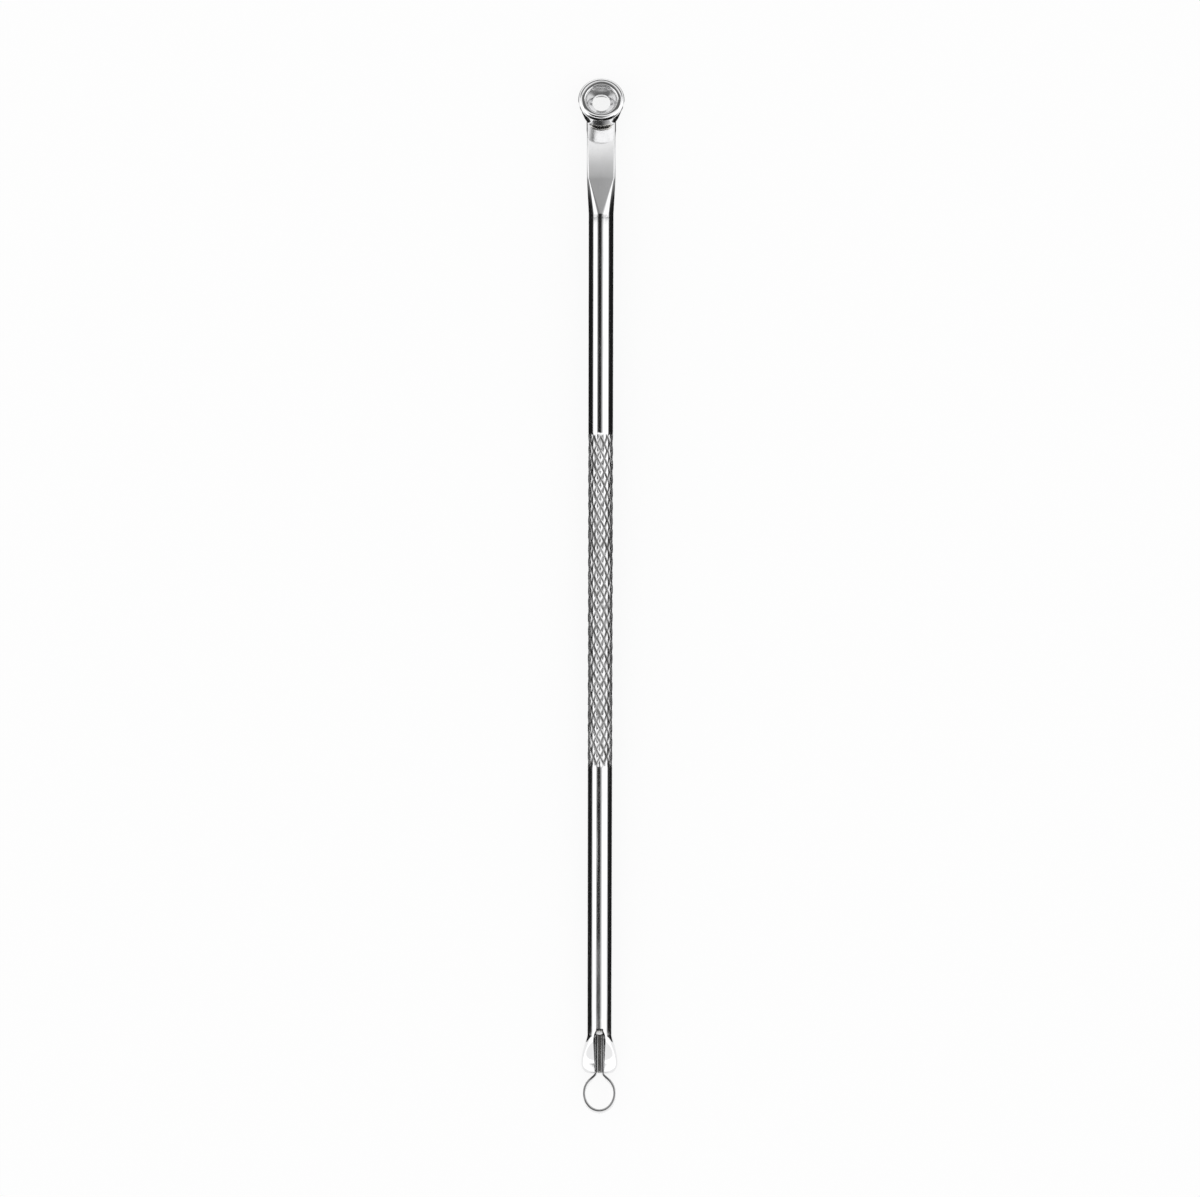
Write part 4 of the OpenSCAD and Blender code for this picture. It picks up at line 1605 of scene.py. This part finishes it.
@dataclass(frozen=True)
class Studio:
    """White tent with soft side lamps, black flags for the metal to reflect, a floor and a camera.

    Lengths are in metres, levels in shares of the tent's white, and the roll in degrees.
    """

    ambient: float = 0.86
    lamp_radiance: float = 0.35
    lamp_distance: float = 0.7
    lamp_width: float = 0.8
    lamp_length: float = 1.4
    flag_height: float = 0.6
    flag_middle: float = -0.12
    flag_dark: float = 0.1
    flag_clear: float = 0.36
    flag_back: float = -0.113
    # Glow levels along the overhead flag, a painted reflection that only the metal shows.
    flag_levels: tuple[tuple[float, float], ...] = (
        (0.0, 0.012), (0.235, 0.012), (0.36, 0.36), (0.373, 0.43), (0.408, 0.52),
        (0.467, 0.585), (0.53, 0.75), (0.598, 0.93), (0.63, 0.98), (0.72, 0.98))
    board_start: float = 0.0033
    board_end: float = 0.012
    board_top: float = 0.0034
    board_clear: float = 0.0054
    axis_height: float = 0.00233
    axis_slope: float = 0.0157
    board_back: float = -0.0524
    board_front: float = 0.0465
    board_gone: float = 0.0535
    near_y: float = 0.0445
    near_half_w: float = 0.02
    near_low: float = 0.005
    near_high: float = 0.024
    cup_card_height: float = 0.0063
    cup_card_half_w: float = 0.0029
    cup_card_y: tuple[float, float, float, float] = (0.0570, 0.0578, 0.0583, 0.0612)
    cup_card_level: float = 0.13
    cup_mat_y: tuple[float, float, float] = (0.0548, 0.0556, 0.0568)
    cup_mat_notch: float = 0.0017
    far_mat_y: tuple[float, float] = (0.0582, 0.0625)
    far_mat_level: float = 0.3
    groove_card_x: tuple[float, float] = (-0.00066, 0.00075)
    groove_card_y: tuple[float, float] = (-0.0564, -0.051)
    groove_card_height: float = 0.0034
    groove_card_level: float = 0.12
    card_distance: float = 0.6
    card_half_w: float = 0.7
    card_height: float = 0.42
    card_soft: float = 0.12
    black: float = 0.012
    back_level: float = 0.2
    floor_glow: float = 0.85
    floor_paper: float = 0.86
    floor_half: float = 4.0
    low: float = 0.0001
    lens: float = 300.0
    sensor: float = 36.0
    frame_width: float = 0.1412
    look_x: float = -0.00004
    look_y: float = -0.00035
    look_z: float = 0.0025
    roll: float = 0.12

    def build_world(self) -> None:
        """Makes the white tent: white where it is seen, at a plain level where it lights."""
        world = bpy.data.worlds.new("white_tent")
        world.use_nodes = True
        world.node_tree.nodes.clear()
        tree = Tree(world.node_tree)
        path = tree.add("LightPath")
        seen = tree.math("MAXIMUM", path.outputs["Is Camera Ray"], path.outputs["Is Glossy Ray"])
        seen = tree.math("MAXIMUM", seen, path.outputs["Is Transmission Ray"])
        strength = tree.math("MULTIPLY_ADD", seen, 1.0 - self.ambient, self.ambient)
        background = tree.add("Background", Color=(1, 1, 1, 1), Strength=strength)
        tree.add("OutputWorld", Surface=background.outputs[0])
        bpy.context.scene.world = world

    def build_lamps(self) -> None:
        """Hangs a large soft lamp on each side."""
        for name, side in (("left_lamp", -1), ("right_lamp", 1)):
            lamp = bpy.data.lights.new(name, "AREA")
            lamp.shape = "RECTANGLE"
            lamp.size, lamp.size_y = self.lamp_width, self.lamp_length
            lamp.energy = self.lamp_radiance * math.pi * self.lamp_width * self.lamp_length
            obj = bpy.data.objects.new(name, lamp)
            reach = self.lamp_distance / math.sqrt(2)
            obj.location = (side * reach, 0, reach)
            obj.rotation_euler = (-obj.location).to_track_quat("-Z", "Y").to_euler()
            obj.visible_camera = False
            bpy.context.scene.collection.objects.link(obj)

    @staticmethod
    def stage_sheet(name: str, corners: Sequence[Sequence[float]],
                    material: Material) -> Object:
        """Makes a flat piece of the stage.

        Args:
            name: Its name.
            corners: Its corners in order.
            material: Its material.

        Returns:
            The sheet.
        """
        mesh = bpy.data.meshes.new(name)
        mesh.from_pydata(list(corners), [], [tuple(range(len(corners)))])
        obj = bpy.data.objects.new(name, mesh)
        mesh.materials.append(material)
        bpy.context.scene.collection.objects.link(obj)
        return obj

    def sheet_at(self, name: str, x: Sequence[float], y: Sequence[float], z: Sequence[float],
                 material: Material) -> Object:
        """Makes a four-cornered sheet, level or facing along the tool.

        Args:
            name: Its name.
            x: Its two sides.
            y: Its back and front, the same where it stands upright.
            z: Its heights at the back and the front, the same where it is level.
            material: Its material.

        Returns:
            The sheet.
        """
        corners = [(x[0], y[0], z[0]), (x[1], y[0], z[0]), (x[1], y[1], z[1]), (x[0], y[1], z[1])]
        return self.stage_sheet(name, corners, material)

    @staticmethod
    def glowing(name: str) -> tuple[Material, Tree, list[Socket]]:
        """Makes a bare material for a flag, and gives its tree and its place along X, Y and Z.

        Args:
            name: Its name.

        Returns:
            The material, its tree helper and the three sockets.
        """
        material, tree = bare_material(name)
        place = tree.add("TexCoord").outputs["Object"]
        return material, tree, list(tree.add("SeparateXYZ", Vector=place).outputs)

    def overhead_painted_reflection(self) -> Material:
        """Makes the overhead flag's glow, a painted reflection: black with soft sides that fade to white,
        growing brighter in steps towards the head of the tool.

        Returns:
            The material.
        """
        material, tree, (x, y, _) = self.glowing("overhead_painted_reflection")
        ramp = tree.tree.nodes.new("ShaderNodeValToRGB")
        ramp.color_ramp.interpolation = "LINEAR"
        end = self.flag_levels[-1][0]
        stops = ramp.color_ramp.elements
        while len(stops) < len(self.flag_levels):
            stops.new(0.5)
        for stop, (place, level) in zip(stops, self.flag_levels):
            stop.position = place / end
            stop.color = (level, level, level, 1)
        tree.put(ramp.inputs[0], tree.math("DIVIDE", y, end, clamp=True))
        off = tree.math("ABSOLUTE", tree.math("SUBTRACT", x, self.flag_middle))
        side = tree.spread(off, self.flag_dark, self.flag_clear)
        level = tree.blend(side, ramp.outputs[0], (1, 1, 1, 1))
        self.shine(tree, level)
        return material

    def board(self, name: str, level: float, top: float, clear: float, base: float = 0.0,
              slope: float = 0.0, front: float = 1.0, gone: float = 2.0) -> Material:
        """Makes an upright board's glow, a painted reflection that only the metal shows, whose upper edge
        fades into the tent.

        Args:
            name: Name of the material.
            level: Brightness of the board.
            top: Height at which it starts to fade.
            clear: Height at which it is as white as the tent.
            base: Height from which these two are measured, at the middle of the tool.
            slope: Rise of that height along the tool.
            front: Place along the tool at which its front starts to fade.
            gone: Place at which its front is as white as the tent.

        Returns:
            The material.
        """
        material, tree, (_, y, z) = self.glowing(name)
        height = tree.math("SUBTRACT", z, tree.math("MULTIPLY_ADD", y, slope, base))
        fade = tree.math("MAXIMUM", tree.spread(height, top, clear), tree.spread(y, front, gone))
        self.shine(tree, tree.blend(fade, (level, level, level, 1), (1, 1, 1, 1)))
        return material

    @staticmethod
    def shine(tree: Tree, level: Socket) -> None:
        """Ends a flag's material with the level that it glows at, which only the metal's reflections show.
        """
        shader = tree.add("Emission", Color=level, Strength=1.0)
        tree.add("OutputMaterial", Surface=shader.outputs[0])

    def build_flags(self) -> None:
        """Places the flags that only the metal's reflections show."""
        clear, end = self.flag_clear, self.flag_levels[-1][0]
        flags = [self.sheet_at(
            "overhead_flag", (self.flag_middle - clear, self.flag_middle + clear), (self.flag_back, end),
            (self.flag_height, self.flag_height), self.overhead_painted_reflection())]
        board = self.board(
            "side_board", self.black, self.board_top, self.board_clear, self.axis_height, self.axis_slope,
            self.board_front, self.board_gone)
        back, front, low = self.board_back, self.board_gone, self.low
        tall = self.board_clear + self.axis_height + self.axis_slope * front
        for name, side in (("left_flag", -1), ("right_flag", 1)):
            near, far = side * self.board_start, side * self.board_end
            flags.append(self.sheet_at(name + "_low", (near, far), (back, front), (low, low), board))
            flags.append(self.stage_sheet(name + "_tall", [
                (far, back, low), (far, front, low), (far, front, tall), (far, back, tall)], board))
        w, y, top = self.card_half_w, self.card_distance, self.card_height
        pale = self.board("head_card", self.back_level, top - self.card_soft, top)
        flags.append(self.sheet_at("head_card", (-w, w), (y, y), (low, top), pale))
        for flag in flags + self.cup_cards() + [self.groove_card()]:
            flag.visible_camera = False
            flag.visible_diffuse = False
            flag.visible_transmission = False
            flag.visible_volume_scatter = False
            flag.visible_shadow = False

    def cup_cards(self) -> list[Object]:
        """Places the small glowing cards and mats whose levels are painted reflections in the cup.

        Returns:
            The cards.
        """
        dark_glow = self.board("cup_dark_reflection", self.black, 1.0, 2.0)
        pale = self.board("cup_pale_reflection", self.far_mat_level, 1.0, 2.0)
        low, y, w = self.low, self.near_y, self.near_half_w
        cards = [self.sheet_at("near_card", (-w, w), (y, y), (self.near_low, self.near_high), dark_glow)]
        back, middle, front = self.cup_mat_y
        w, notch = self.board_end, self.cup_mat_notch
        cards.append(self.stage_sheet("cup_mat", [
            (-w, back, low), (w, back, low), (w, front, low), (notch, front, low),
            (notch, middle, low), (-notch, middle, low), (-notch, front, low), (-w, front, low)], dark_glow))
        cards.append(self.sheet_at("far_mat", (-w, w), self.far_mat_y, (low, low), pale))
        material, tree, (_, y, _) = self.glowing("cup_card")
        back, white, dark, front = self.cup_card_y
        self.shine(tree, tree.grey(tree.spread(y, white, dark, 1.0, self.cup_card_level)))
        w, h = self.cup_card_half_w, self.cup_card_height
        return cards + [self.sheet_at("cup_card", (-w, w), (back, front), (h, h), material)]

    def groove_card(self) -> Object:
        """Places the glowing card over the tail's groove, darker on its left: a painted reflection that
        shows in the groove.

        Returns:
            The card.
        """
        material, tree, (x, _, _) = self.glowing("groove_card")
        self.shine(tree, tree.grey(tree.spread(x, *self.groove_card_x, self.black, self.groove_card_level)))
        h = self.groove_card_height
        return self.sheet_at("groove_card", self.groove_card_x, self.groove_card_y, (h, h), material)

    def build_floor(self) -> None:
        """Lays the white floor, which keeps the tool's shadow."""
        material, tree = bare_material("white_floor")
        level, half = self.floor_paper, (-self.floor_half, self.floor_half)
        paper = tree.add("BsdfDiffuse", Color=(level, level, level, 1))
        glow = tree.add("Emission", Color=(1, 1, 1, 1), Strength=1.0)
        path = tree.add("LightPath")
        seen = tree.math("MULTIPLY", path.outputs["Is Camera Ray"], self.floor_glow)
        mirrored = tree.math("MAXIMUM", path.outputs["Is Glossy Ray"], path.outputs["Is Transmission Ray"])
        both = tree.add("MixShader")
        for socket, value in zip(both.inputs, (
                tree.math("MAXIMUM", seen, mirrored), paper.outputs[0], glow.outputs[0])):
            tree.put(socket, value)
        tree.add("OutputMaterial", Surface=both.outputs[0])
        self.sheet_at("floor", half, half, (0, 0), material)

    def build_camera(self) -> None:
        """Hangs the camera straight over the tool."""
        data = bpy.data.cameras.new("overhead_camera")
        data.lens = self.lens
        data.sensor_width = self.sensor
        data.clip_start, data.clip_end = 0.01, 50.0
        obj = bpy.data.objects.new("overhead_camera", data)
        distance = self.frame_width * self.lens / self.sensor
        obj.location = (self.look_x, self.look_y, self.look_z + distance)
        obj.rotation_euler = (0, 0, math.radians(self.roll))
        bpy.context.scene.collection.objects.link(obj)
        bpy.context.scene.camera = obj

    def build(self) -> None:
        """Builds the whole studio."""
        bpy.context.scene.view_settings.view_transform = "Standard"
        self.build_world()
        self.build_lamps()
        self.build_flags()
        self.build_floor()
        self.build_camera()


def main() -> None:
    """Builds the pieces, their finishes and the studio."""
    logging.basicConfig(level=logging.INFO, format="%(name)s: %(message)s")
    tool = Tool()
    rest = Resting(tool)
    finishes = Finishes()
    handle = Handle(tool, rest)
    handle.dress(handle.build(), finishes.rod, "rod_steel", "handle")
    cup = Cup(tool, rest)
    cup.dress(cup.build(), finishes.cup, "cup_steel", "extractor_cup")
    cup.dress(cup.build_fillet(), finishes.braze, "braze", "cup_braze")
    loop = RibbonLoop(tool, rest)
    loop.dress(loop.build(), finishes.ribbon, "spring_ribbon", "ribbon_loop")
    loop.dress(loop.build_braze(), finishes.braze, "braze", "loop_braze")
    Studio().build()


if __name__ == "__main__":
    main()
